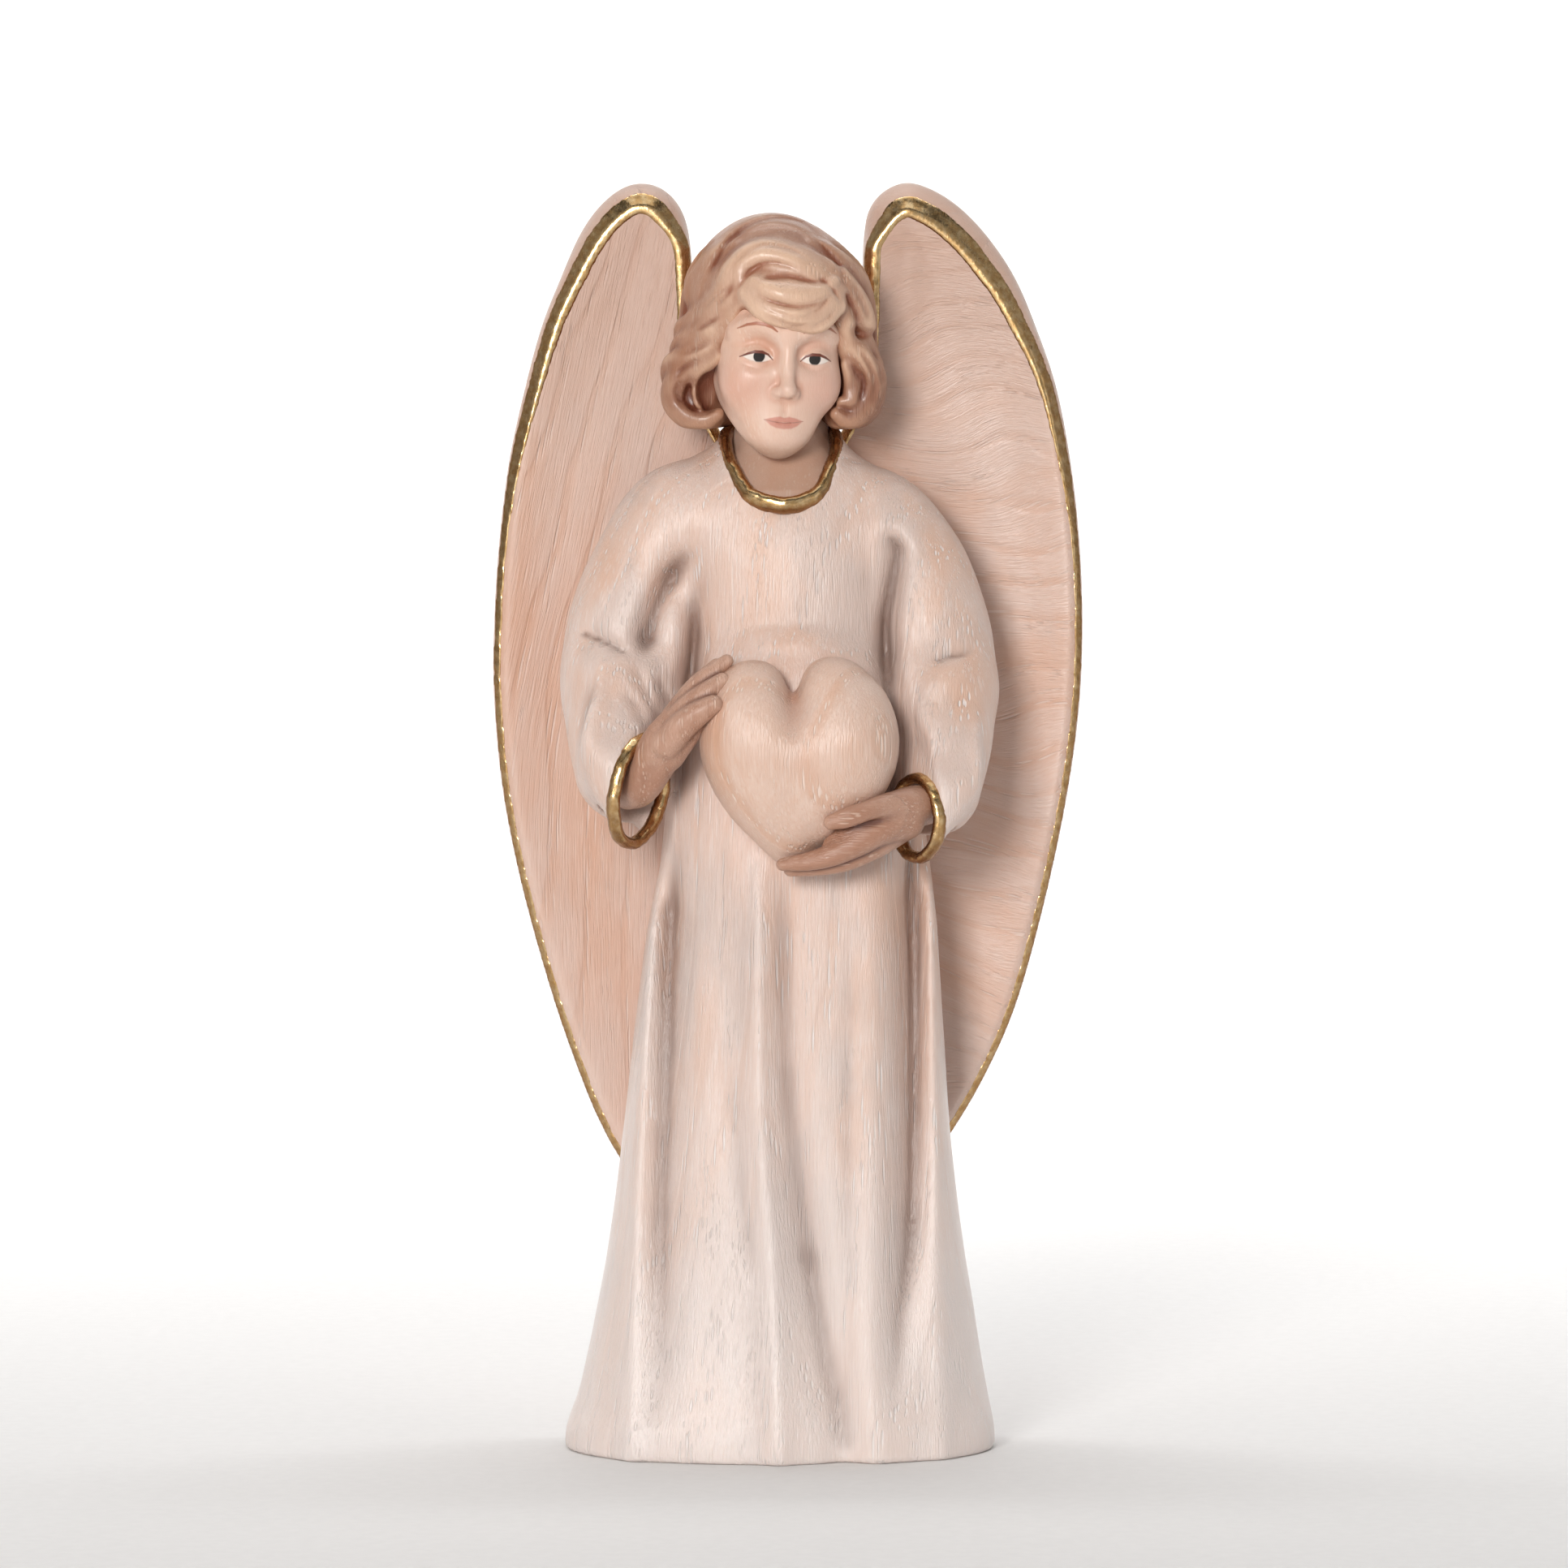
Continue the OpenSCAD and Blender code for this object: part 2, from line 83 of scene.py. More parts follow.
def curve(points, steps=6, closed=False):
    """A smooth line through points of any dimension."""
    p = np.array(points, float)
    if closed:
        p = np.vstack([p[-1:], p, p[:2]])
    else:
        p = np.vstack([2 * p[0] - p[1], p, 2 * p[-1] - p[-2]])
    line = []
    for a, b, c, d in zip(p[:-3], p[1:-2], p[2:-1], p[3:]):
        for i in range(steps):
            t = i / steps
            square, cube = 2 * a - 5 * b + 4 * c - d, 3 * b - a - 3 * c + d
            line.append((2 * b + (c - a) * t + square * t**2 + cube * t**3) / 2)
    if not closed:
        line.append(p[-2])
    return np.array(line)


def along(table, z, column=1):
    """A smooth value at each height from a table whose first column is the height."""
    rows = curve(sorted(table), 8)
    return np.interp(z, rows[:, 0], rows[:, column]).astype(np.float32)


def wander(x, seed=0):
    """A smooth number from -1 to 1 for each number, always the same for the same one."""
    return sum(np.sin(x * f + seed * 7.3 + f) / (1 + i) for i, f in enumerate((1.0, 2.3, 4.1, 7.7))) / 2


class Clay:
    """A lump of clay: distance to its surface on a grid, negative inside."""

    def __init__(self, lo, hi, step):
        self.lo, self.step = np.array(lo, float), step
        self.axes = [np.arange(a, b + step, step, dtype=np.float32) for a, b in zip(lo, hi)]
        self.d = np.full([len(a) for a in self.axes], FAR, np.float32)

    def window(self, lo=(-999,) * 3, hi=(999,) * 3):
        """The part of the grid between two corners, and its coordinates."""
        cut = []
        for i, axis in enumerate(self.axes):
            first = min(max(int((lo[i] - axis[0]) / self.step), 0), len(axis) - 1)
            last = max(min(int((hi[i] - axis[0]) / self.step) + 2, len(axis)), first + 1)
            cut.append(slice(first, last))
        return tuple(cut), *self.coordinates(cut)

    def coordinates(self, cut):
        """The x, y and z of a part of the grid."""
        x, y, z = (a[c] for a, c in zip(self.axes, cut))
        return x[:, None, None], y[None, :, None], z[None, None, :]

    def add(self, form, cut=Ellipsis, k=0.0):
        """Joins a form on, with a fillet of about k."""
        self.d[cut] = soft_min(self.d[cut], form, k)

    def carve(self, form, cut=Ellipsis, k=0.0):
        """Cuts a form away, its edge softened by about k."""
        self.d[cut] = soft_max(self.d[cut], -form, k)

    def ball(self, centre, radii, k=0.0, tilt=(0, 0, 0), carve=False):
        """An ellipsoid, turned by tilt in degrees."""
        centre, radii = np.array(centre, float), np.array(radii, float) * np.ones(3)
        reach = radii.max() + k + 1
        cut, x, y, z = self.window(centre - reach, centre + reach)
        q = np.stack(np.broadcast_arrays(x - centre[0], y - centre[1], z - centre[2]))
        if any(tilt):
            turn = np.array(Euler([math.radians(a) for a in tilt]).to_matrix())
            q = np.tensordot(turn.T, q, 1)
        k0 = np.sqrt(((q / radii[:, None, None, None]) ** 2).sum(0)) + TINY
        k1 = np.sqrt(((q / radii[:, None, None, None] ** 2) ** 2).sum(0)) + TINY
        form = k0 * (k0 - 1) / k1
        (self.carve if carve else self.add)(form, cut, k)

    def limb(self, joints, k=0.0):
        """A round limb through joints of x, y, z and radius."""
        cut, form = self.rod(joints, k + 1)
        self.add(form, cut, k)

    def rod(self, joints, reach):
        """The part of the grid within reach of a round limb, and the distance to the limb there."""
        path = curve(joints, STEPS)
        big = path[:, 3].max() + reach
        cut, x, y, z = self.window(path[:, :3].min(0) - big, path[:, :3].max(0) + big)
        form = np.full(self.d[cut].shape, FAR, np.float32)
        for a, b in zip(path[:-1], path[1:]):
            u = b[:3] - a[:3]
            px, py, pz = x - a[0], y - a[1], z - a[2]
            t = np.clip((px * u[0] + py * u[1] + pz * u[2]) / (u @ u + 1e-9), 0, 1)
            gap = np.sqrt((px - t * u[0]) ** 2 + (py - t * u[1]) ** 2 + (pz - t * u[2]) ** 2)
            np.minimum(form, gap - a[3] - (b[3] - a[3]) * t, out=form)
        return cut, form

    def stroke(self, points, width, depth, ends=(0.3, 0.3), front=None, sharp=False):
        """Presses a line into the clay, or raises one if depth is negative; it fades at its ends.

        Points of x and z alone press everything in front of y = front.
        """
        path = curve(points, STEPS)
        flat = path.shape[1] == 2
        lo, hi = path.min(0) - 2.6 * width, path.max(0) + 2.6 * width
        if flat:
            lo, hi = (lo[0], -999, lo[1]), (hi[0], front + 1, hi[1])
        cut, x, y, z = self.window(lo, hi)
        legs = path[1:] - path[:-1]
        far = np.hypot(*legs.T) if flat else np.linalg.norm(legs, axis=1)
        far = np.concatenate([[0], np.cumsum(far)]) / far.sum()
        best = 0.0
        for i, (a, b) in enumerate(zip(path[:-1], path[1:])):
            u = b - a
            if flat:
                px, pz = x - a[0], z - a[1]
                t = np.clip((px * u[0] + pz * u[1]) / (u @ u + 1e-9), 0, 1)
                gap = (px - t * u[0]) ** 2 + (pz - t * u[1]) ** 2
            else:
                px, py, pz = x - a[0], y - a[1], z - a[2]
                t = np.clip((px * u[0] + py * u[1] + pz * u[2]) / (u @ u + 1e-9), 0, 1)
                gap = (px - t * u[0]) ** 2 + (py - t * u[1]) ** 2 + (pz - t * u[2]) ** 2
            s = far[i] + (far[i + 1] - far[i]) * t
            fade = ease(s / max(ends[0], 1e-3)) * ease((1 - s) / max(ends[1], 1e-3))
            shape = np.exp(-np.sqrt(gap) / width * 1.3) if sharp else np.exp(-gap / width**2)
            best = np.maximum(best, fade * shape)
        if flat:
            best = best * ease(front + 0.5 - y)
        self.d[cut] += depth * best

    def sample(self, points):
        """The distance at any points, read between those of the grid."""
        q = (points - self.lo) / self.step
        q = np.clip(q, 0, np.array(self.d.shape) - 1.001)
        i = q.astype(int)
        f = q - i
        total = 0.0
        for dx in (0, 1):
            for dy in (0, 1):
                for dz in (0, 1):
                    share = np.abs(1 - dx - f[:, 0]) * np.abs(1 - dy - f[:, 1]) * np.abs(1 - dz - f[:, 2])
                    total = total + share * self.d[i[:, 0] + dx, i[:, 1] + dy, i[:, 2] + dz]
        return total

    def skin(self, rounds=3):
        """The clay's surface: vertices, four-sided faces and the normal at each vertex."""
        grid = openvdb.FloatGrid(FAR)
        edge = np.clip(self.d, -2 * self.step, 2 * self.step)
        grid.copyFromArray(np.ascontiguousarray(edge, dtype=np.float32))
        points, _, quads = grid.convertToPolygons(isovalue=0.0, adaptivity=0.0)
        verts = points.astype(float) * self.step + self.lo
        faces = quads.astype(np.int64)
        faces = faces[largest_shell(faces, len(verts))]
        used = np.unique(faces)
        back = np.zeros(len(verts), np.int64)
        back[used] = np.arange(len(used))
        verts, faces = verts[used], back[faces]
        if volume(verts, faces) < 0:
            faces = faces[:, ::-1]
        for _ in range(rounds):
            verts = verts * (1 - BLUR) + BLUR * blurred(verts, faces)
            verts -= self.sample(verts)[:, None] * normals(verts, faces) * FIT
        return verts, faces, normals(verts, faces)


def blurred(verts, faces):
    """Each vertex moved to the middle of its neighbours."""
    middle = np.zeros_like(verts)
    count = np.bincount(faces.ravel(), minlength=len(verts))
    for j in range(4):
        for step in (1, 3):
            for c in range(3):
                beside = verts[faces[:, (j + step) % 4], c]
                middle[:, c] += np.bincount(faces[:, j], beside, minlength=len(verts))
    return middle / (2 * count[:, None])


def largest_shell(faces, count):
    """Which faces belong to the largest connected shell."""
    label = np.arange(count)
    while True:
        low = label[faces].min(1)
        new = label.copy()
        for j in range(4):
            np.minimum.at(new, faces[:, j], low)
        new = new[new]
        if (new == label).all():
            break
        label = new
    shell = label[faces[:, 0]]
    names, counts = np.unique(shell, return_counts=True)
    return shell == names[counts.argmax()]


def normals(verts, faces):
    """The direction out of the surface at each vertex."""
    a, b, c, d = (verts[faces[:, i]] for i in range(4))
    face = np.cross(c - a, d - b)
    total = np.zeros_like(verts)
    for j in range(4):
        for k in range(3):
            total[:, k] += np.bincount(faces[:, j], face[:, k], minlength=len(verts))
    return total / (np.linalg.norm(total, axis=1)[:, None] + 1e-12)


def volume(verts, faces):
    a, b, c, d = (verts[faces[:, i]] for i in range(4))
    return (np.einsum("ij,ij->i", a, np.cross(b, c)) + np.einsum("ij,ij->i", a, np.cross(c, d))).sum() / 6


def piece(name, verts, faces, look, slot, nodes, **marks):
    """A mesh of the object from vertices in design millimetres, with marks for its material."""
    mesh = bpy.data.meshes.new(name)
    mesh.vertices.add(len(verts))
    mesh.vertices.foreach_set("co", np.ascontiguousarray(verts * MM, np.float32).ravel())
    mesh.loops.add(faces.size)
    mesh.loops.foreach_set("vertex_index", np.ascontiguousarray(faces, np.int32).ravel())
    mesh.polygons.add(len(faces))
    mesh.polygons.foreach_set("loop_start", np.arange(0, faces.size, faces.shape[1], dtype=np.int32))
    mesh.update(calc_edges=True)
    mesh.validate()
    mesh.shade_smooth()
    for mark, values in marks.items():
        kind = "FLOAT" if values.ndim == 1 else "FLOAT_VECTOR"
        store = mesh.attributes.new(mark, kind, "POINT")
        store.data.foreach_set("value" if values.ndim == 1 else "vector",
                               np.ascontiguousarray(values, np.float32).ravel())
    mesh.materials.append(look)
    obj = bpy.data.objects.new(name, mesh)
    bpy.context.scene.collection.objects.link(obj)
    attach(obj, "root")
    if nodes:
        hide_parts(*nodes)
    return obj


def sculpted(name, clay, look, slot, nodes, grain, place=None,
             rounds=3, reach=1.2, broad=1.6, deep=0.22):
    """A piece from clay: its surface, its place, its grain and how hollow each spot is.

    Broad is the reach in millimetres over which hollows and ridges are told apart, deep how far
    below its surroundings a spot lies when it counts as fully hollow.
    """
    verts, faces, n = clay.skin(rounds)
    hollow = np.clip(1 - clay.sample(verts + n * reach) / reach, 0, 1)
    smooth = verts
    for _ in range(int((broad / clay.step) ** 2)):
        smooth = blurred(smooth, faces)
    sunk = ((smooth - verts) * n).sum(1)
    local = verts.copy()
    if place is not None:
        verts = place(verts)
        if volume(verts, faces) < 0:
            faces = faces[:, ::-1]
    return piece(name, verts, faces, look, slot, nodes, local=local, grain=grain(local, verts),
                 relief=np.clip((sunk - np.median(sunk)) / deep + 0.35 * hollow, -1, 1))


# ---- Materials ------------------------------------------------------------------------------


def paint(r, g, b):
    """A colour from 0-255 screen values."""
    shares = [c / 255 for c in (r, g, b)]
    return tuple(c / 12.92 if c <= 0.04045 else ((c + 0.055) / 1.055) ** 2.4 for c in shares) + (1.0,)


class Look:
    """A material built from nodes."""

    def __init__(self, name):
        self.material = bpy.data.materials.new(name)
        self.material.use_nodes = True
        self.tree = self.material.node_tree
        self.tree.nodes.clear()

    def node(self, kind, inputs, out=0, **settings):
        """A shader node with its inputs linked or set; it returns one output."""
        node = self.tree.nodes.new("ShaderNode" + kind)
        for key, value in settings.items():
            setattr(node, key, value)
        for key, value in inputs.items():
            if isinstance(value, bpy.types.NodeSocket):
                self.tree.links.new(value, node.inputs[key])
            else:
                node.inputs[key].default_value = value
        return node.outputs[out] if node.outputs else None

    def mark(self, name, single=False):
        """A value that the piece carries at its vertices."""
        return self.node("Attribute", {}, "Fac" if single else "Vector", attribute_name=name)

    def math(self, operation, a, b=0.0):
        return self.node("Math", {0: a, 1: b}, operation=operation)

    def add(self, *values):
        total = values[0]
        for value in values[1:]:
            total = self.math("ADD", total, value)
        return total

    def times(self, a, b):
        return self.math("MULTIPLY", a, b)

    def step(self, value, lo, hi, to_lo=0.0, to_hi=1.0):
        """A smooth step from to_lo to to_hi as the value goes from lo to hi."""
        return self.node("MapRange", {0: value, 1: lo, 2: hi, 3: to_lo, 4: to_hi},
                         interpolation_type="SMOOTHSTEP")

    def mix(self, share, a, b, kind="MIX"):
        return self.node("Mix", {0: share, 6: a, 7: b}, 2,
                         data_type="RGBA", blend_type=kind, clamp_factor=True)

    def stretch(self, vector, scale, shift=(0, 0, 0)):
        return self.node("VectorMath", {0: vector, 1: scale, 2: shift}, operation="MULTIPLY_ADD")

    def noise(self, vector, scale, detail=2.0, rough=0.5, shift=(0, 0, 0)):
        return self.node("TexNoise", {"Vector": self.stretch(vector, scale, shift), "Scale": 1.0,
                                      "Detail": detail, "Roughness": rough})

    def cells(self, vector, scale, shift=(0, 0, 0)):
        place = self.stretch(vector, scale, shift)
        return self.node("TexVoronoi", {"Vector": place, "Scale": 1.0}, "Distance")

    def split(self, vector):
        node = self.tree.nodes.new("ShaderNodeSeparateXYZ")
        self.tree.links.new(vector, node.inputs[0])
        return node.outputs

    def bump(self, height, depth):
        return self.node("Bump", {"Height": height, "Distance": depth * MM, "Strength": 1.0})

    def finish(self, **inputs):
        names = {key: key.replace("_", " ") for key in inputs}
        shader = self.node("BsdfPrincipled", {names[k]: v for k, v in inputs.items()})
        self.node("OutputMaterial", {"Surface": shader})
        return self.material


def wood_parts(look, wash, bare, streak, ring=3.4, wave=0.5, pores=1.0, seed=0.0, bands=0.25, place=None):
    """Washed open-grained ash: its colour, height, roughness and relief, from the piece's marks.

    The grain marks are millimetres across the rings, along them, and along the fibres.
    """
    grain = look.mark("grain") if place is None else place
    place = look.mark("local") if place is None else place
    bend = look.noise(grain, (0.02, 0.05, 0.012), 2.0, shift=(seed, seed, 0))
    across = look.split(grain)[0]
    phase = look.add(look.times(across, 1 / ring), look.times(bend, 7 * wave),
                     look.times(look.noise(grain, (0.16, 0.16, 0.05), 2.0,
                                           shift=(0, seed, seed)), 0.9 * wave))
    turn = look.math("FRACT", phase)
    early = look.times(look.step(turn, 0.0, 0.10), look.step(turn, 0.42, 0.16))
    # open pores: short streaks along the fibres, thick in the early wood and few elsewhere
    wide = look.cells(grain, (2.3, 2.3, 0.13), shift=(seed, 0, 3))
    fine = look.cells(grain, (3.8, 3.8, 0.32), shift=(0, seed, 9))
    wide = look.times(look.step(wide, 0.40, 0.2), look.step(early, 0.1, 0.7, 0.3, 1.0))
    few = look.step(look.noise(grain, (0.5, 0.5, 0.05), 1.0, shift=(7, seed, 0)), 0.5, 0.68)
    fine = look.times(look.step(fine, 0.34, 0.16), look.add(look.times(few, 0.7), 0.1))
    pore = look.math("MAXIMUM", wide, fine)
    fibre = look.noise(grain, (5.5, 5.5, 0.22), 3.0, 0.6, shift=(seed, 2, 0))
    patch = look.noise(grain, (0.11, 0.11, 0.028), 3.0, 0.55, shift=(seed, 5, 1))
    cloud = look.noise(place, (0.14, 0.14, 0.09), 3.0, 0.55, shift=(1, seed, 4))
    relief = look.mark("relief", True)
    colour = look.mix(look.times(look.step(patch, 0.42, 0.68), 0.75), wash, bare)
    colour = look.mix(look.times(look.step(cloud, 0.5, 0.78), 0.35), colour, streak)
    colour = look.mix(look.times(early, bands), colour, bare)
    colour = look.mix(look.step(fibre, 0.45, 0.75, 0.0, 0.42), colour, bare)
    colour = look.mix(look.times(pore, 0.8 * pores), colour, streak)
    height = look.add(look.times(pore, -0.4 * pores), look.times(early, -0.3), look.times(fibre, 0.5))
    rough = look.add(look.step(cloud, 0.3, 0.7, 0.30, 0.42), look.times(fibre, 0.16), look.times(pore, 0.12))
    return colour, height, rough, relief


def washed_wood(name, wash, bare, streak, hollow, paler_low_down=0.0, painted_top_shade=0.0, grey=0.25, **settings):
    """Washed ash whose hollows hold a darker wash, partly painted shade, and whose ridges are rubbed to the
    streaks' colour.
    """
    look = Look(name)
    colour, height, rough, relief = wood_parts(look, wash, bare, streak, **settings)
    haze = look.noise(look.mark("local"), (0.09, 0.09, 0.035), 3.0, 0.6, shift=(8, 3, 6))
    colour = look.mix(look.step(haze, 0.46, 0.62, 0.0, grey), colour, paint(206, 187, 178))
    # paler towards the bottom and darker towards the top: on the wings both are painted light, lighter low
    # down and painted shade up high; the robe is only made paler towards its hem
    if paler_low_down:
        high = look.split(look.mark("local"))[2]
        colour = look.mix(look.step(high, 78, 2, 0.0, paler_low_down), colour, streak)
        colour = look.mix(look.step(high, 106, 150, 0.0, painted_top_shade), colour, paint(194, 160, 142))
    # painted shade in the hollows: they take the darker wash, partly as wash settles there and partly
    # standing in for the shade that falls in creases
    colour = look.mix(look.step(relief, 0.0, 1.0, 0.0, 0.85), colour, hollow, "MULTIPLY")
    colour = look.mix(look.step(relief, -0.1, -1.0, 0.0, 0.35), colour, streak)
    bump = look.bump(height, 0.2)
    return look.finish(Base_Color=colour, Roughness=rough, Specular_IOR_Level=0.45,
                       Coat_Weight=0.6, Coat_Roughness=0.28, Coat_Normal=bump,
                       Subsurface_Weight=0.05, Subsurface_Radius=(1.2 * MM, 0.7 * MM, 0.45 * MM),
                       Normal=bump)


# the fourth colour of each wood is the darker wash in its hollows, partly painted shade
robe_look = washed_wood("robe_wash", paint(223, 197, 184), paint(216, 175, 151), paint(240, 231, 227),
                        paint(156, 140, 133), ring=3.6, seed=0.0, paler_low_down=0.6, grey=0.65)
heart_look = washed_wood("heart_wash", paint(218, 186, 168), paint(208, 160, 130), paint(240, 222, 210),
                         paint(196, 154, 128), ring=3.8, pores=0.8, seed=11.0, bands=0.4)
# the wings' paler bottom and darker top are painted light and painted shade
wing_look = washed_wood("wing_wash", paint(218, 186, 170), paint(212, 166, 140), paint(234, 210, 198),
                        paint(206, 166, 146), ring=4.6, wave=0.9, pores=0.8, seed=23.0, bands=0.5,
                        paler_low_down=0.8, painted_top_shade=0.7)
hand_look = washed_wood("hand_stain", paint(192, 150, 128), paint(166, 116, 90), paint(226, 194, 174),
                        paint(128, 80, 60), grey=0.0, ring=4.0, pores=0.7, seed=31.0)


def hair_stain():
    look = Look("hair_stain")
    colour, height, rough, relief = wood_parts(look, paint(178, 136, 112), paint(166, 112, 80),
                                               paint(204, 172, 152), ring=3.0, pores=0.9, seed=41.0)
    place = look.mark("local")
    drift = look.times(look.add(look.noise(place, (0.3, 0.3, 0.3), 2.0, 0.5, shift=(2, 9, 4)), -0.5), 0.8)
    tone = look.add(relief, drift)
    colour = look.mix(look.step(look.split(place)[1], -8.5, -13.0, 0.0, 0.6), colour, paint(228, 192, 166))
    # darker orange in the creases, partly stain and partly painted shade; paler on the ridges, partly stain
    # and partly painted highlight
    colour = look.mix(look.step(tone, 0.0, 0.8, 0.0, 0.8), colour, paint(176, 116, 80), "MULTIPLY")
    colour = look.mix(look.step(tone, -0.05, -0.7, 0.0, 0.75), colour, paint(226, 190, 162))
    low = look.step(look.split(place)[2], 140, 132, 0.0, 0.65)
    colour = look.mix(low, colour, paint(176, 136, 112), "MULTIPLY")
    return look.finish(Base_Color=colour, Roughness=rough, Specular_IOR_Level=0.42,
                       Coat_Weight=0.4, Coat_Roughness=0.24,
                       Subsurface_Weight=0.04, Subsurface_Radius=(1.2 * MM, 0.7 * MM, 0.4 * MM),
                       Normal=look.bump(height, 0.16))


hair_look = hair_stain()


def gilding():
    look = Look("gilding")
    place = look.mark("local")
    brush = look.mark("grain")
    lumps = look.noise(place, (1.1, 1.1, 1.1), 3.0, 0.6)
    marks = look.noise(brush, (3.2, 3.2, 0.5), 3.0, 0.6)
    grit = look.noise(place, (6.0, 6.0, 6.0), 2.0, 0.5, shift=(4, 1, 7))
    colour = look.mix(look.step(lumps, 0.35, 0.7), paint(206, 166, 112), paint(232, 202, 154))
    colour = look.mix(look.step(marks, 0.56, 0.8, 0.0, 0.4), colour, paint(140, 100, 60))
    # painted reflection: leaf on walls that face sideways or down is darkened to bronze, standing in for the
    # dark room it would mirror
    facing = look.split(look.node("NewGeometry", {}, "Normal"))
    aside = look.step(look.math("ABSOLUTE", facing[0]), 0.3, 0.85)
    below = look.step(facing[2], 0.0, -0.7)
    painted_dark_reflection = look.math("MAXIMUM", aside, below)
    colour = look.mix(look.times(painted_dark_reflection, 0.8), colour, paint(124, 82, 50))
    height = look.add(look.times(lumps, 0.6), look.times(marks, 0.4), look.times(grit, 0.06))
    rough = look.add(look.step(marks, 0.3, 0.8, 0.16, 0.28), look.times(grit, 0.08))
    return look.finish(Base_Color=colour, Metallic=1.0, Roughness=rough, Normal=look.bump(height, 0.045))


gold_look = gilding()


def face_paint():
    """Skin-coloured wash with a painted face, drawn from the head's own coordinates."""
    look = Look("skin_stain")
    colour, height, rough, relief = wood_parts(look, paint(226, 194, 176), paint(222, 180, 156),
                                               paint(238, 216, 202), ring=4.4, pores=0.45, seed=53.0)
    x, y, z = look.split(look.mark("local"))
    side = look.math("ABSOLUTE", x)
    front = look.step(y, -2.0, -4.5)
    # painted shadow: the neck below the chin is darkened
    colour = look.mix(look.step(z, -12.6, -15.4, 0.0, 0.8), colour, paint(206, 196, 188), "MULTIPLY")

    def spot(cx, cz, rx, rz, soft):
        """A soft-edged oval on the face."""
        u = look.times(look.math("SUBTRACT", side, cx), 1 / rx)
        v = look.times(look.math("SUBTRACT", z, cz), 1 / rz)
        gap = look.math("SQRT", look.add(look.times(u, u), look.times(v, v)))
        return look.times(look.step(gap, 1 + soft, 1 - soft), front)

    def line(points, widths, soft=0.06):
        """A brush line through points of |x| and z, with a width at each point."""
        best = None
        for (ax, az), (bx, bz), wa, wb in zip(points, points[1:], widths, widths[1:]):
            ux, uz = bx - ax, bz - az
            px, pz = look.math("SUBTRACT", side, ax), look.math("SUBTRACT", z, az)
            square = ux * ux + uz * uz
            dot = look.add(look.times(px, ux / square), look.times(pz, uz / square))
            t = look.node("Clamp", {0: dot})
            gx = look.math("SUBTRACT", px, look.times(t, ux))
            gz = look.math("SUBTRACT", pz, look.times(t, uz))
            gap = look.math("SQRT", look.add(look.times(gx, gx), look.times(gz, gz)))
            gap = look.math("SUBTRACT", gap, look.add(wa, look.times(t, wb - wa)))
            best = gap if best is None else look.math("MINIMUM", best, gap)
        return look.times(look.step(best, soft, -soft), front)

    # painted shade: the face's hollows are darkened
    colour = look.mix(look.step(relief, 0.2, 0.9, 0.0, 0.4), colour, paint(222, 178, 156), "MULTIPLY")
    blush = look.times(spot(5.4, -6.6, 3.2, 2.8, 0.8), 0.36)
    colour = look.mix(blush, colour, paint(204, 138, 118))
    # eyes: the open part between the lids, the pupil, the lash line and the lower lid
    lids = look.math("MINIMUM", spot(3.6, -3.45, 2.1, 1.28, 0.06), spot(3.6, -1.75, 2.5, 1.72, 0.06))
    colour = look.mix(look.times(lids, 0.85), colour, paint(238, 230, 222))
    pupil = look.math("MINIMUM", lids, spot(3.55, -2.75, 0.74, 0.78, 0.1))
    colour = look.mix(pupil, colour, paint(24, 17, 15))
    lash = line([(1.75, -3.15), (2.4, -2.5), (3.2, -2.2), (4.1, -2.2), (4.9, -2.5), (5.8, -3.0)],
                [0.05, 0.13, 0.18, 0.18, 0.15, 0.05])
    colour = look.mix(lash, colour, paint(112, 54, 38))
    lower = line([(2.3, -3.35), (3.6, -3.55), (5.2, -3.15)], [0.03, 0.04, 0.03], 0.1)
    colour = look.mix(look.times(lower, 0.35), colour, paint(160, 104, 82))
    brow = line([(1.7, 0.5), (2.4, 1.0), (3.3, 1.3), (4.3, 1.35), (5.3, 1.1), (6.3, 0.5)],
                [0.1, 0.18, 0.22, 0.21, 0.17, 0.06], 0.08)
    colour = look.mix(look.times(brow, 0.85), colour, paint(158, 84, 50))
    upper_lip = line([(0, -10.48), (0.6, -10.38), (1.2, -10.44), (1.8, -10.5), (2.4, -10.56)],
                     [0.28, 0.35, 0.3, 0.19, 0.04], 0.12)
    lower_lip = line([(0, -11.18), (0.9, -11.12), (1.6, -10.94), (2.2, -10.68)],
                     [0.4, 0.38, 0.26, 0.05], 0.14)
    colour = look.mix(look.times(look.math("MAXIMUM", upper_lip, lower_lip), 0.68), colour,
                      paint(194, 112, 96))
    part = line([(0, -10.84), (0.9, -10.78), (1.8, -10.66), (2.5, -10.54)], [0.06, 0.06, 0.05, 0.02], 0.08)
    colour = look.mix(look.times(part, 0.65), colour, paint(136, 72, 58))
    return look.finish(Base_Color=colour, Roughness=rough, Specular_IOR_Level=0.42,
                       Coat_Weight=0.32, Coat_Roughness=0.28,
                       Subsurface_Weight=0.08, Subsurface_Radius=(1.5 * MM, 0.8 * MM, 0.5 * MM),
                       Normal=look.bump(height, 0.07))


skin_look = face_paint()


PITH_X, PITH_Y = -8, 60  # the heart of the tree that the upright pieces are cut from


def grain_upright(local, world):
    """Fibres upright, and rings round a heart of the tree well behind the figure."""
    x, y, z = world.T
    across = np.hypot(x - PITH_X, y - PITH_Y) + 0.012 * z
    return np.stack([across + 0.35 * x, np.arctan2(x - PITH_X, PITH_Y - y) * PITH_Y, z], 1)


# ---- Robe -----------------------------------------------------------------------------------

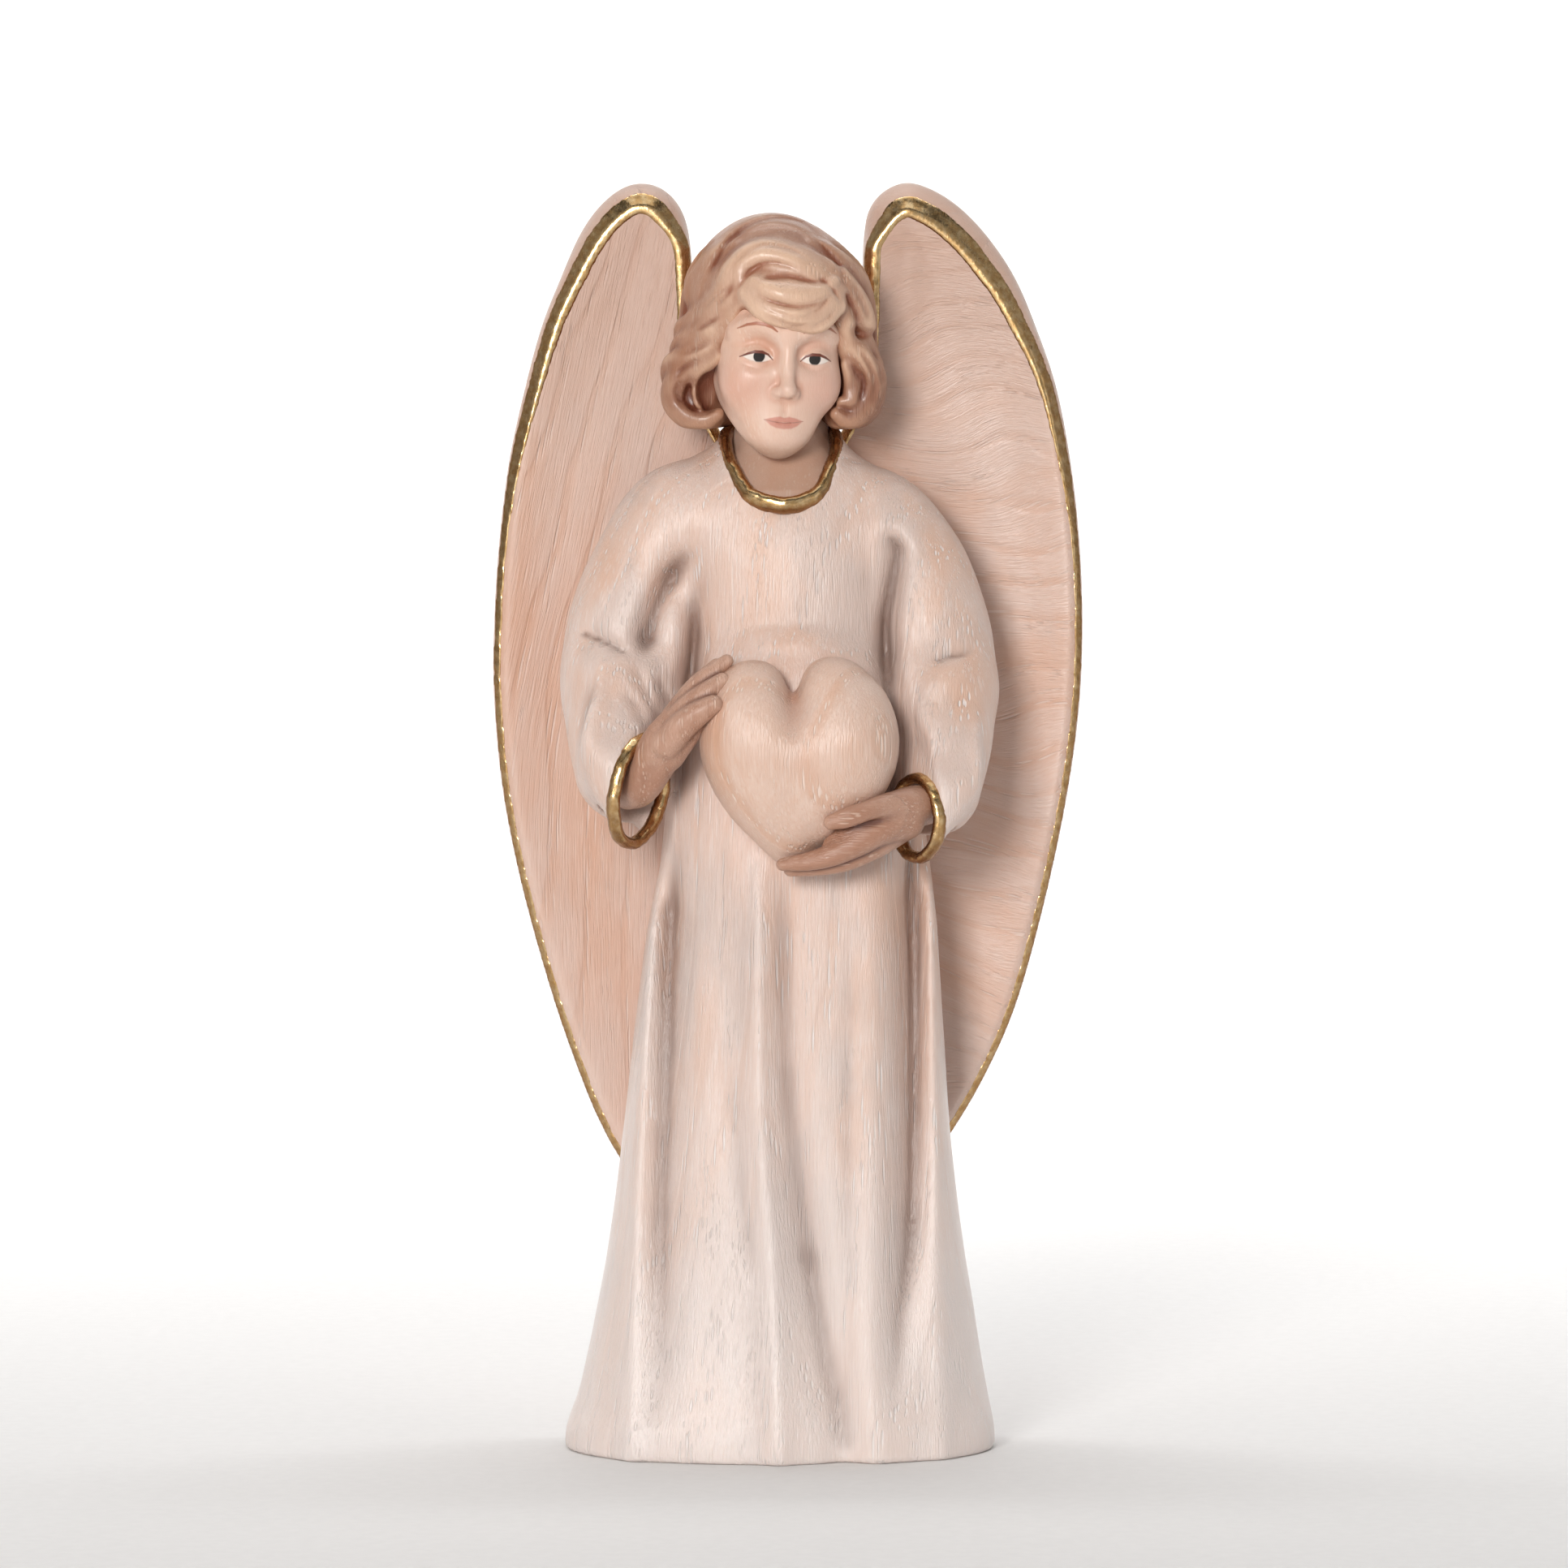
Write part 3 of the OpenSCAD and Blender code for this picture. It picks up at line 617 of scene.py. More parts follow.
# Height, left edge, right edge, front depth and back depth of the skirt and body
BODY = [
    (0, -27.4, 27.1, 19.0, 15.0), (3, -27.0, 26.9, 18.7, 14.9), (7, -25.6, 26.1, 18.1, 14.5),
    (11.2, -24.6, 25.4, 17.5, 14.2), (19.4, -22.9, 24.1, 16.5, 13.6), (27.6, -21.5, 22.8, 15.6, 13.1),
    (39.8, -19.9, 21.4, 14.6, 12.4), (50, -18.6, 20.7, 13.9, 11.8), (60.2, -17.0, 20.0, 13.3, 11.2),
    (70.4, -15.5, 19.2, 12.8, 10.6), (80, -14.6, 18.0, 12.4, 10.1), (90, -13.6, 16.4, 12.0, 9.8),
    (100, -12.8, 15.2, 11.7, 9.6), (108, -12.4, 14.6, 11.3, 9.4), (114, -13.0, 14.4, 10.7, 9.2),
    (119, -12.6, 12.8, 9.7, 8.6), (123, -10.4, 10.8, 8.7, 7.2), (127, -7.8, 8.0, 7.2, 5.8),
    (130, -6.4, 6.6, 6.0, 4.8),
]
ROUNDNESS = 2.3  # 2 would make the body's plan an ellipse, more makes it squarer
# Front folds: line of height and x, lift at heights, width at heights
FOLDS = [
    ([(75, -15.3), (55, -17.0), (30, -18.0), (3, -18.8)], [(80, 0), (66, 1.5), (3, 1.1)],
     [(75, 1.4), (3, 1.9)]),
    ([(75, -12.8), (47, -13.8), (30, -14.5), (3, -15.0)],
     [(80, 0), (68, -1.8), (30, -1.8), (14, -0.9), (4, 0)],
     [(75, 1.9), (3, 2.6)]),
    ([(72, -2.8), (47, -2.7), (36, -2.1), (26, -1.2), (7, -0.4), (0, -0.2)], [(76, 0), (66, 1.2), (0, 1.2)],
     [(75, 1.3), (3, 1.8)]),
    ([(72, 0.2), (47, 1.0), (30, 2.8), (18, 4.6), (2, 7.9)],
     [(76, 0), (66, -0.8), (40, -1.6), (25, -2.6), (0, -2.0)],
     [(75, 1.4), (30, 2.3), (2, 3.0)]),
    ([(50, -6.9), (34, -5.2), (24, -4.2)], [(52, 0), (44, -0.3), (28, -0.3), (22, 0)],
     [(50, 1.4), (24, 1.4)]),
    ([(62, 8.6), (30, 8.3), (2, 8.9)], [(66, 0), (52, -0.3), (20, -0.5), (2, 0)], [(60, 0.9), (2, 1.2)]),
    ([(80, 11.6), (0, 11.6)], [(80, 0), (60, 1.1), (8, 0.8)], [(80, 2.6), (0, 3.0)]),
    ([(80, 15.9), (60, 16.2), (31, 16.0), (18, 14.8), (6, 14.0)],
     [(80, -1.2), (70, -3.2), (30, -3.0), (15, -1.4), (4, 0)], [(80, 1.8), (40, 2.3), (3, 2.0)]),
    ([(74, 18.8), (20, 19.6), (4, 20.4)], [(76, 0), (66, 1.0), (6, 0.6)], [(74, 1.2), (3, 1.7)]),
]
# Back folds: line of height and x, then as above
BACK_FOLDS = [
    ([(80, x * 0.5), (0, x)], [(86, 0), (50, lift * 0.7), (0, lift)], [(80, 2.2), (0, wide)])
    for x, lift, wide in ((-19, 1.0, 3.2), (-12, -0.9, 2.6), (-5, 0.9, 3.0), (2, -0.8, 2.4), (8, 1.0, 3.0),
                          (14, -0.9, 2.4), (20, 0.9, 2.8))
]


def fold_lift(folds, x, z):
    """How far the folds stand out of the robe, or lie in it where they are furrows."""
    lift = 0.0
    for line, heights, widths in folds:
        middle, width = along(line, z), along(widths, z)
        tall = np.interp(z, *zip(*sorted(heights))).astype(np.float32)
        lift = lift + tall * np.exp(-((np.abs(x - middle) / width) ** 1.8))
    return lift


def body_form(x, y, z, folded=True):
    """Distance to the robe's skirt and body, without its sleeves."""
    left, right, ahead, behind = (along(BODY, z, i) for i in range(1, 5))
    half, middle = (right - left) / 2, (right + left) / 2
    deep = np.where(y < 0, ahead, behind)
    u, v = np.abs((x - middle) / half) + 1e-4, np.abs(y / deep) + 1e-4
    n = ROUNDNESS
    q = (u**n + v**n) ** (1 / n)
    slope = np.hypot(u ** (n - 1) / half, v ** (n - 1) / deep) * q ** (1 - n)
    form = (q - 1) / slope
    if folded:
        form = form - fold_lift(FOLDS, x, z) * ease(-y / 4) - fold_lift(BACK_FOLDS, x, z) * ease(y / 4)
    return form


# The neckline: x, y and z round the neck, from the front over the angel's left shoulder
NECKLINE = [
    (0.4, -10.0, 119.1), (4.4, -8.6, 120.3), (6.4, -5.6, 123.8), (7.0, -1, 126.8), (5.6, 3.4, 128.2),
    (0, 5.4, 128.8), (-5.6, 3.4, 128.4), (-7.0, -1, 127.0), (-6.3, -5.6, 124), (-3.8, -8.8, 120.3),
]
NECK_MIDDLE = (0.1, -1.8)


def neck_funnel(x, y, z):
    """Negative in the space inside the neckline and above it."""
    ring = curve(NECKLINE, 8, closed=True)
    angle = np.arctan2(ring[:, 0] - NECK_MIDDLE[0], ring[:, 1] - NECK_MIDDLE[1])
    order = np.argsort(angle)
    wide = np.hypot(ring[:, 0] - NECK_MIDDLE[0], ring[:, 1] - NECK_MIDDLE[1])[order]
    tall = ring[:, 2][order]
    angle = np.concatenate([angle[order] - 2 * np.pi, angle[order], angle[order] + 2 * np.pi])
    here = np.arctan2(x - NECK_MIDDLE[0], y - NECK_MIDDLE[1])
    radius = np.interp(here, angle, np.tile(wide, 3)).astype(np.float32)
    height = np.interp(here, angle, np.tile(tall, 3)).astype(np.float32)
    slant = np.clip((z - height) / 14, -0.9, 0.6)
    return np.hypot(x - NECK_MIDDLE[0], y - NECK_MIDDLE[1]) - radius * (1 + slant)


# Cuffs: the mouth's middle, outward normal, upward direction and half sizes, how broadly the sleeve
# blends into the body, then the paths of the sleeve and its end by x, y, z and radius
CUFFS = {
    "right": dict(
        middle=(-17.7, -13.0, 83.7), normal=(0.83, -0.56, -0.14), tall=(0.17, 0.0, 0.985), half=(6.7, 5.4),
        blend=3.2,
        sleeve=[(-5.4, 0.2, 120.4, 5.6), (-9.6, -0.4, 118.8, 6.4), (-13.2, -0.9, 116.4, 7.3),
                (-16.4, -1.4, 111, 7.4), (-18.3, -2.0, 106, 7.8), (-19.4, -2.6, 101, 7.9),
                (-19.5, -3.6, 96, 7.8)],
        forearm=[(-19.9, -4.2, 96.8, 7.4), (-19.6, -6.8, 91, 7.2), (-18.9, -9.6, 86.4, 6.9)],
    ),
    "left": dict(
        middle=(17.1, -13.4, 80.3), normal=(-0.8, -0.6, 0.0), tall=(0.0, 0.0, 1.0), half=(5.0, 4.6),
        blend=2.4,
        sleeve=[(5.4, 0.2, 119.6, 5.6), (9.2, -0.4, 118.2, 6.3), (12.6, -0.9, 115.8, 7.1),
                (16.0, -1.4, 111, 7.4), (17.7, -2.0, 106, 7.8), (18.9, -2.6, 101, 7.9),
                (19.3, -3.8, 96, 7.8)],
        forearm=[(19.6, -4.6, 96.0, 7.4), (19.4, -7.4, 90, 7.1), (18.8, -10.4, 84, 6.2)],
    ),
}


def unit(v):
    return np.array(v, float) / np.linalg.norm(v)


def cuff_frame(cuff):
    """A cuff's middle, its directions out and up, and the one across them."""
    middle, normal = np.array(cuff["middle"], float), unit(cuff["normal"])
    tall = unit(np.array(cuff["tall"], float) - normal * (unit(cuff["tall"]) @ normal))
    return middle, normal, tall, np.cross(normal, tall)


def cuff_space(cuff, x, y, z):
    """Distances from a cuff's mouth: out of the sleeve, up it and across it."""
    middle, normal, tall, wide = cuff_frame(cuff)
    x, y, z = x - middle[0], y - middle[1], z - middle[2]
    return [x * v[0] + y * v[1] + z * v[2] for v in (normal, tall, wide)]


def make_robe():
    clay = Clay((-29.6, -21.5, -1), (29.6, 17, 130.5), 0.52)
    _, x, y, z = clay.window()
    clay.d[:] = np.clip(body_form(x, y, z), -FAR, FAR)
    # the chest swells to meet the heart
    clay.ball((1.6, -8.0, 95.0), (11.5, 6.0, 7.6), 3.5)
    for cuff in CUFFS.values():
        cut, arm = clay.rod(cuff["sleeve"], 4)
        clay.add(arm, cut, cuff["blend"])
    for cuff in CUFFS.values():
        cut, arm = clay.rod(cuff["forearm"], 6)
        out, up, over = cuff_space(cuff, *clay.coordinates(cut))
        tall, wide = cuff["half"]
        # the sleeve's end widens to the mouth's oval and is cut off there
        back = np.clip(-out, 0, 7)
        rise = up - back - 0.02 * back**2
        oval = length(rise / (tall + 0.5 - 0.12 * back), over / (wide + 0.5 + 0.14 * back))
        bell = soft_max((oval - 1) * (wide + 0.7), -out - 6, 1.5)
        arm = soft_max(soft_min(arm, bell, 2.2), out, 0.5)
        clay.add(arm, cut, 1.6)
        # the hollow inside the mouth
        u, v = up / (tall - 0.7), over / (wide - 0.7)
        hole = (length(u, v, (out + 0.5) / 4.4) - 1) * 4
        tube = (length(u, v) - 1) * wide
        hole = np.where(out > -0.5, np.maximum(tube, out - 4), hole)
        clay.carve(hole, cut, 0.5)
    # folds and creases of the sleeves and chest
    for points, width, depth, ends, sharp in [
        ([(-11.4, 114.2), (-13.4, 111), (-15.2, 107.4), (-16.6, 103.4), (-17.2, 100)], 1.5, 2.4,
         (0.35, 0.2), False),
        ([(-10.8, 108.5), (-10.6, 103.5), (-11.0, 98.5), (-11.6, 93.5)], 1.1, 1.0, (0.5, 0.3), False),
        ([(-13.4, 107.5), (-13.0, 102.5), (-13.8, 96)], 1.3, -0.7, (0.4, 0.4), False),
        ([(-25.8, 103.4), (-22.2, 102.2), (-18.0, 100.2)], 0.8, 1.15, (0.25, 0.25), True),
        ([(-24.5, 99.6), (-21.5, 98.6), (-18.5, 96.8)], 2.4, -0.5, (0.4, 0.4), False),
        ([(-18.6, 100.2), (-17.2, 97.4), (-15.6, 94.2), (-14.6, 91.4)], 0.9, 0.7, (0.3, 0.3), False),
        ([(-17.4, 99.2), (-16.0, 96.2), (-14.4, 92.8)], 0.7, -0.5, (0.4, 0.3), False),
        ([(-15.6, 98.6), (-14.8, 95.8), (-13.6, 93)], 0.7, 0.6, (0.4, 0.3), False),
        ([(-19.6, 96.2), (-17.6, 93.6), (-16.4, 91.4)], 0.7, 0.45, (0.4, 0.3), False),
        ([(-23.6, 92.4), (-20.8, 90.6), (-18.4, 90.4)], 1.5, 0.5, (0.5, 0.3), False),
        ([(13.6, 115.6), (14.4, 112.4), (13.9, 108.2), (13.3, 103.4), (13.8, 93)], 1.25, 1.9,
         (0.18, 0.4), False),
        ([(13.3, 115.6), (14.9, 113.6), (16.0, 112.4)], 0.9, 0.7, (0.3, 0.5), False),
        ([(16.4, 106), (15.6, 101), (15.4, 96)], 1.6, -0.4, (0.4, 0.4), False),
        ([(17.8, 98.9), (20.6, 100.2), (24.6, 100.8)], 1.0, 0.95, (0.4, 0.25), True),
        ([(17.4, 95.8), (20.6, 97.6), (24.2, 98.2)], 1.8, -0.5, (0.4, 0.4), False),
        ([(16.2, 92), (18.4, 88.6), (21.2, 87.2)], 2.0, 0.45, (0.4, 0.4), False),
        ([(-6.8, 101.4), (0.8, 102.2), (8.8, 101.2)], 1.3, -0.3, (0.4, 0.4), False),
        ([(-17.6, 118.6), (-15.4, 121.0), (-11.6, 121.8)], 1.6, -0.25, (0.5, 0.5), False),
    ]:
        clay.stroke(points, width, depth, ends, front=-1.0, sharp=sharp)
    cut, x, y, z = clay.window((-10, -13, 112), (10, 9, 131))
    clay.carve(neck_funnel(x, y, z), cut, 0.4)
    _, x, y, z = clay.window()
    # the gouge's long facets
    clay.d += 0.08 * wander(x * 0.9 + 0.03 * z, 1) * wander(z * 0.13 + 0.3 * x, 2)
    clay.d += 0.025 * wander(z * 0.55 + 0.2 * y, 3) * wander(x * 0.4 + 0.1 * z, 4)
    clay.d[:] = soft_max(clay.d, np.broadcast_to(-z, clay.d.shape), 0.7)
    sculpted("robe_carved", clay, robe_look, "robe_wash", ["robe"], grain_upright, broad=2.6, deep=0.8)


make_robe()


# ---- Heart ----------------------------------------------------------------------------------


def make_heart():
    clay = Clay((-12, -25.5, 74), (16, -8.5, 102.5), 0.33)
    thick, middle = 0.9, -16.6
    # its lobes are round in clay and flatter in wood, so the depth is drawn out while they are added
    clay.axes[1] = middle + (clay.axes[1] - middle) / thick
    for joints in (
        [(-3.4, middle, 94.4, 5.7), (-3.1, middle, 92.0, 6.9), (-2.2, middle, 88.6, 7.6),
         (-0.8, middle, 84.4, 6.6), (0.4, middle, 80.4, 4.2), (0.8, middle, 78.0, 2.4)],
        [(6.4, middle, 94.8, 5.7), (7.2, middle, 92.0, 7.0), (6.8, middle, 88.6, 7.7),
         (4.8, middle, 84.4, 6.7), (2.2, middle, 80.4, 4.2), (1.2, middle, 78.0, 2.4)],
    ):
        clay.limb(joints, 3.4)
    clay.axes[1] = middle + (clay.axes[1] - middle) * thick
    clay.lo[1] = clay.axes[1][0]
    clay.stroke([(1.5, 100.5), (1.5, 96.5), (1.3, 93), (1.0, 89)], 1.6, 1.4, (0.02, 0.8), front=0)
    clay.stroke([(1.5, 99.5), (1.5, 96.4), (1.4, 94.6)], 0.8, 0.6, (0.02, 0.6), front=0)
    _, x, _, z = clay.window()
    clay.d += 0.06 * wander(x * 0.5 + 0.1 * z, 6) * wander(z * 0.35 + 0.1 * x, 7)
    sculpted("heart_carved", clay, heart_look, "heart_wash", ["heart"], grain_upright, broad=2.0, deep=0.8)


make_heart()


# ---- Hands ----------------------------------------------------------------------------------


def make_hands():
    # each hand is a wrist and a palm with the fingers joined on
    right = Clay((-22, -24.5, 78), (-3.5, -8, 103), 0.22)
    right.limb([(-19.0, -10.6, 83.4, 2.2), (-17.6, -13.2, 84.0, 2.3), (-16.4, -14.8, 86.2, 2.7),
                (-14.6, -16.6, 89.6, 2.8), (-12.9, -17.6, 92.2, 2.3)], 0.4)
    right.limb([(-14.4, -15.2, 89.4, 2.2), (-12.6, -16.2, 93.2, 1.9), (-11.2, -16.6, 95.6, 1.5)], 0.8)
    right.limb([(-13.0, -16.8, 92.2, 1.9), (-11.2, -17.3, 95.4, 1.5), (-9.2, -17.6, 97.9, 1.25),
                (-6.7, -17.2, 100.0, 0.85)], 0.5)
    right.limb([(-13.2, -18.0, 91.8, 1.9), (-11.4, -18.7, 94.2, 1.65), (-9.4, -19.2, 96.0, 1.35),
                (-7.2, -19.0, 97.7, 0.95)], 0.3)
    right.limb([(-14.2, -18.2, 89.8, 2.0), (-12.4, -19.6, 91.8, 1.8), (-10.4, -20.4, 93.5, 1.6),
                (-8.3, -20.9, 94.8, 1.15)], 0.3)
    right.limb([(-13.8, -16.4, 88.4, 2.0), (-11.8, -17.4, 91.2, 1.9), (-9.8, -18.2, 93.4, 1.4)], 0.5)
    right.limb([(-13.2, -15.4, 93.0, 1.6), (-10.8, -15.6, 96.6, 1.2), (-8.0, -15.2, 99.4, 0.85)], 0.4)
    right.stroke([(-17.6, -15.4, 83.2), (-16.4, -17.4, 86.0), (-14.6, -19.0, 88.8)], 1.2, 0.3, (0.4, 0.4))
    sculpted("hand_right_carved", right, hand_look, "skin_stain", ["hand_right"],
             lambda local, world: local, reach=0.9, broad=1.0, deep=0.36)

    left = Clay((-2, -25.5, 71), (23, -8, 88.5), 0.22)
    left.limb([(19.8, -10.8, 82.0, 2.2), (18.2, -13.2, 81.9, 2.4), (16.2, -15.6, 81.7, 2.7),
               (14.0, -17.4, 80.7, 2.8), (12.2, -18.4, 79.6, 2.4)], 0.4)
    left.limb([(15.6, -16.8, 80.0, 2.2), (12.4, -19.2, 79.4, 2.1), (9.6, -20.4, 77.7, 1.7),
               (6.2, -20.8, 76.1, 1.4), (3.2, -20.4, 75.3, 1.15), (0.2, -19.8, 74.9, 0.8)], 0.5)
    left.limb([(14.4, -16.2, 79.2, 2.1), (11.6, -17.8, 77.4, 1.9), (8.2, -18.6, 75.6, 1.55),
               (4.8, -18.6, 74.7, 1.25), (1.2, -18.2, 74.2, 0.9)], 0.3)
    left.limb([(13.8, -17.8, 80.8, 2.0), (11.0, -19.4, 80.0, 1.9), (8.4, -20.0, 78.6, 1.5),
               (6.2, -20.0, 77.4, 1.0)], 0.7)
    left.limb([(15.4, -17.0, 82.0, 2.1), (13.0, -19.4, 82.0, 1.7), (10.8, -21.4, 81.6, 1.35),
               (8.4, -22.5, 80.9, 1.3), (6.2, -22.6, 80.3, 0.95)], 0.5)
    left.stroke([(13.4, -20.6, 80.6), (10.4, -22.0, 79.9), (7.6, -22.6, 78.8)], 0.5, 0.35, (0.4, 0.3))
    sculpted("hand_left_carved", left, hand_look, "skin_stain", ["hand_left"],
             lambda local, world: local[:, [1, 2, 0]], reach=0.9, broad=1.0, deep=0.36)


make_hands()


# ---- Gilded beads ---------------------------------------------------------------------------


BEAD_SIDES = 14  # corners of a bead's cross-section
CUFF_BEAD_POINTS = 140


def bead(name, path, middle, across, thick, nodes, seed):
    """A hand-gilded bead along a closed line; its radii wander a little as carved ones do."""
    n, around = len(path), BEAD_SIDES
    ahead = np.roll(path, -1, 0) - np.roll(path, 1, 0)
    ahead /= np.linalg.norm(ahead, axis=1)[:, None]
    away = path - np.array(middle)
    away -= ahead * (away * ahead).sum(1)[:, None]
    away /= np.linalg.norm(away, axis=1)[:, None]
    up = np.cross(ahead, away)
    s = np.arange(n) / n * 2 * np.pi
    ring = []
    for i in range(around):
        a = 2 * np.pi * i / around
        wobble = 1 + 0.07 * wander(s * 9 + 1.7 * math.cos(a), seed) + 0.05 * wander(s * 21 + a, seed + 3)
        ring.append(path + (away * math.cos(a) * across / 2 + up * math.sin(a) * thick / 2) * wobble[:, None])
    verts = np.stack(ring, 1).reshape(-1, 3)
    i, j = np.meshgrid(np.arange(n), np.arange(around), indexing="ij")
    a, b = i * around + j, i * around + (j + 1) % around
    c, d = ((i + 1) % n) * around + (j + 1) % around, ((i + 1) % n) * around + j
    faces = np.stack([a, b, c, d], -1).reshape(-1, 4)
    if volume(verts, faces) < 0:
        faces = faces[:, ::-1]
    run = np.repeat(np.linalg.norm(np.roll(path, -1, 0) - path, axis=1).cumsum(), around)
    side = np.tile(np.arange(around) * across * np.pi / around, n)
    piece(name, verts, faces, gold_look, "gilding", nodes, local=verts,
          grain=np.stack([side, side * 0, run], 1), relief=np.zeros(len(verts)))


ring = curve(NECKLINE[5:] + NECKLINE[:5], 22, closed=True)
bead("collar_gilded", ring, ring.mean(0), 1.9, 2.5, ["collar_bead"], 1)
for side, cuff in CUFFS.items():
    middle, normal, tall, wide = cuff_frame(cuff)
    a = np.linspace(0, 2 * np.pi, CUFF_BEAD_POINTS, endpoint=False) - 0.6 * np.pi
    grow = 1 + 0.03 * wander(a, 5)
    line = (middle + normal * 0.05 + np.outer(np.cos(a) * (cuff["half"][0] - 0.1) * grow, tall)
            + np.outer(np.sin(a) * (cuff["half"][1] - 0.1) * grow, wide))
    bead("cuff_%s_gilded" % side, line, middle, 1.5, 1.9, ["cuff_bead_" + side], 4 + len(side))


# ---- Wings ----------------------------------------------------------------------------------

# Outline in the wing's plane, from its tip behind the skirt up the outer edge and down the inner
WING_LEFT = [
    (0.1, 27), (1.5, 23.6), (5, 23.2), (9.5, 24), (16, 30.4), (21.4, 37.4), (26.2, 45.6),
    (30.2, 55), (33.6, 67.5), (36.4, 81), (38.0, 93), (38.4, 104), (37.9, 115), (36.7, 125), (34.9, 134),
    (32.4, 141.3), (29.8, 147.4), (26.6, 152.3), (23.2, 156), (19.8, 158.4), (16.2, 159.6), (13.2, 158.6),
    (11.2, 156.2), (10.5, 152.6), (10.3, 147), (10.4, 141), (10.3, 136), (8.8, 130.4), (5.2, 124), (0.1, 118),
    (0.1, 90), (0.1, 60),
]
WING_RIGHT = [
    (-0.1, 27), (-1.5, 23.6), (-5, 23.4), (-9, 24.4), (-14.6, 29.6), (-19.6, 33.4),
    (-23.4, 39.8), (-27.0, 49), (-30.2, 59), (-33.4, 71.2), (-35.6, 83), (-36.6, 95), (-36.5, 104),
    (-35.9, 113.3), (-34.6, 124), (-32.5, 133.6), (-30.4, 141.3), (-28.0, 147.4), (-25.4, 153.2),
    (-22.6, 157), (-19.4, 159.2), (-16.2, 159.3), (-13.6, 157.6), (-12.0, 154.6), (-11.3, 150), (-11.1, 144),
    (-10.8, 137), (-8.8, 130.4), (-5.2, 124), (-0.1, 118), (-0.1, 90), (-0.1, 60),
]
WING_THICK = 5.4
WING_LEAN = math.radians(3)
CUP_RADIUS, CUP_X = 95.0, 19.0  # the hollow bend of the front and the x of its deepest line
ROOT_Y, ROOT_Z = 9.6, 90.0  # the line at the back that the wings lean about
CHAMFER = 1.5
COS_45 = 0.7071


def outline_distance(x, z, outline):
    """Signed distance in the wing's plane to its outline, negative inside."""
    line = curve(outline, 6, closed=True)
    nxt = np.roll(line, -1, 0)
    best = np.full((len(x), len(z)), 1e9)
    inside = np.zeros(best.shape, bool)
    px, pz = x[:, None], z[None, :]
    for (ax, az), (bx, bz) in zip(line, nxt):
        ux, uz = bx - ax, bz - az
        t = np.clip(((px - ax) * ux + (pz - az) * uz) / (ux * ux + uz * uz + 1e-9), 0, 1)
        best = np.minimum(best, (px - ax - t * ux) ** 2 + (pz - az - t * uz) ** 2)
        if az != bz:
            hit = (az > pz) != (bz > pz)
            inside ^= hit & (px < ax + ux * (pz - az) / (bz - az))
    return np.where(inside, -1, 1) * np.sqrt(best)


def into_place(side):
    """Bends the flat board over its hollow front and leans it against the back."""
    def place(v):
        x, u, z = v.T
        bent = u + np.sqrt(CUP_RADIUS**2 - (x - side * CUP_X) ** 2) - CUP_RADIUS
        up = z - ROOT_Z
        y = ROOT_Y + bent * math.cos(WING_LEAN) - up * math.sin(WING_LEAN)
        return np.stack([x, y, ROOT_Z + bent * math.sin(WING_LEAN) + up * math.cos(WING_LEAN)], 1)
    return place


def make_wing(name, outline, side):
    """A wing's board and the gilded strip along its front edge; side is 1 on the angel's left."""
    xs = sorted((side * -0.8, side * 40.4))
    for part, step in (("board", 0.42), ("gold", 0.26)):
        clay = Clay((xs[0], -1.2, 21.5), (xs[1], WING_THICK + 1, 161), step)
        _, x, u, z = clay.window()
        gap = outline_distance(clay.axes[0], clay.axes[2], outline)[:, None, :].astype(np.float32)
        out = side * x
        # how far the side wall flares to the back: wide at the top and down the upper outer side
        inner = ease((17.0 - out) / 2.0) * ease((z - 118) / 10) * ease((156 - z) / 5)
        rise, most = ((z - 134) / 20, 1.6) if side > 0 else ((z - 142) / 16, 1.0)
        flare = (0.2 + most * ease(rise)) * (1 - 0.85 * inner)
        edge = gap + flare * (1 - ease(u / 3.4))
        joint = ease((2.0 - out) / 1.5) * ease((118 - z) / 3)  # where the two boards meet
        chamfer = CHAMFER * (1 - 0.8 * joint) * (1 - 0.35 * inner)
        hollow = 0.55 * ease((-edge - 1.2) / 7.0)  # the front is carved a little below its rim
        front = -(u - hollow)
        wall = np.broadcast_to(edge, np.broadcast_shapes(edge.shape, u.shape))
        form = soft_max(wall, u - WING_THICK, 1.6)
        form = soft_max(form, front, 0.35)
        form = soft_max(form, (edge - u + chamfer) * COS_45, 0.3)
        form = soft_max(form, 0.05 - out, 0.2)
        if part == "board":
            clay.d[:] = np.clip(form, -FAR, FAR)
            sculpted(name + "_carved", clay, wing_look, "wing_wash", [name], wing_grain(side),
                     into_place(side), deep=0.3)
        else:
            ragged = 0.10 * wander(z * 1.3 + x * 0.6, side) + 0.05 * wander(z * 4.1 - x * 2.7, side + 2)
            width = (0.85 + 1.7 * ease((z - 110) / 38)) * (1 - 0.22 * inner) * (1 - joint) - 0.6 * joint
            inward = width + 0.6 * ragged + edge  # how far inside the gilded strip
            outward = 1.5 + 0.5 * ragged - 0.35 * ease((z - 120) / 20) - u  # and from its back edge
            layer = 0.12 * ease(inward / 0.25 + 0.5) * ease(outward / 0.3 + 0.5)
            layer = layer - 0.5 * (1 - ease(inward / 0.5 + 1)) - 0.5 * (1 - ease(outward / 0.5 + 1))
            layer = layer + 0.03 * wander(z * 3.0 + x * 2.2, 5)
            gold = np.maximum(form - layer, -form - 0.55)
            gold = np.maximum(gold, np.broadcast_to(-inward - 0.6, gold.shape))
            clay.d[:] = np.clip(gold, -FAR, FAR)
            rim = name.replace("wing_", "wing_rim_")
            sculpted(rim + "_gilded", clay, gold_look, "gilding", [rim],
                     lambda local, world: local[:, [1, 0, 2]], into_place(side), rounds=1)


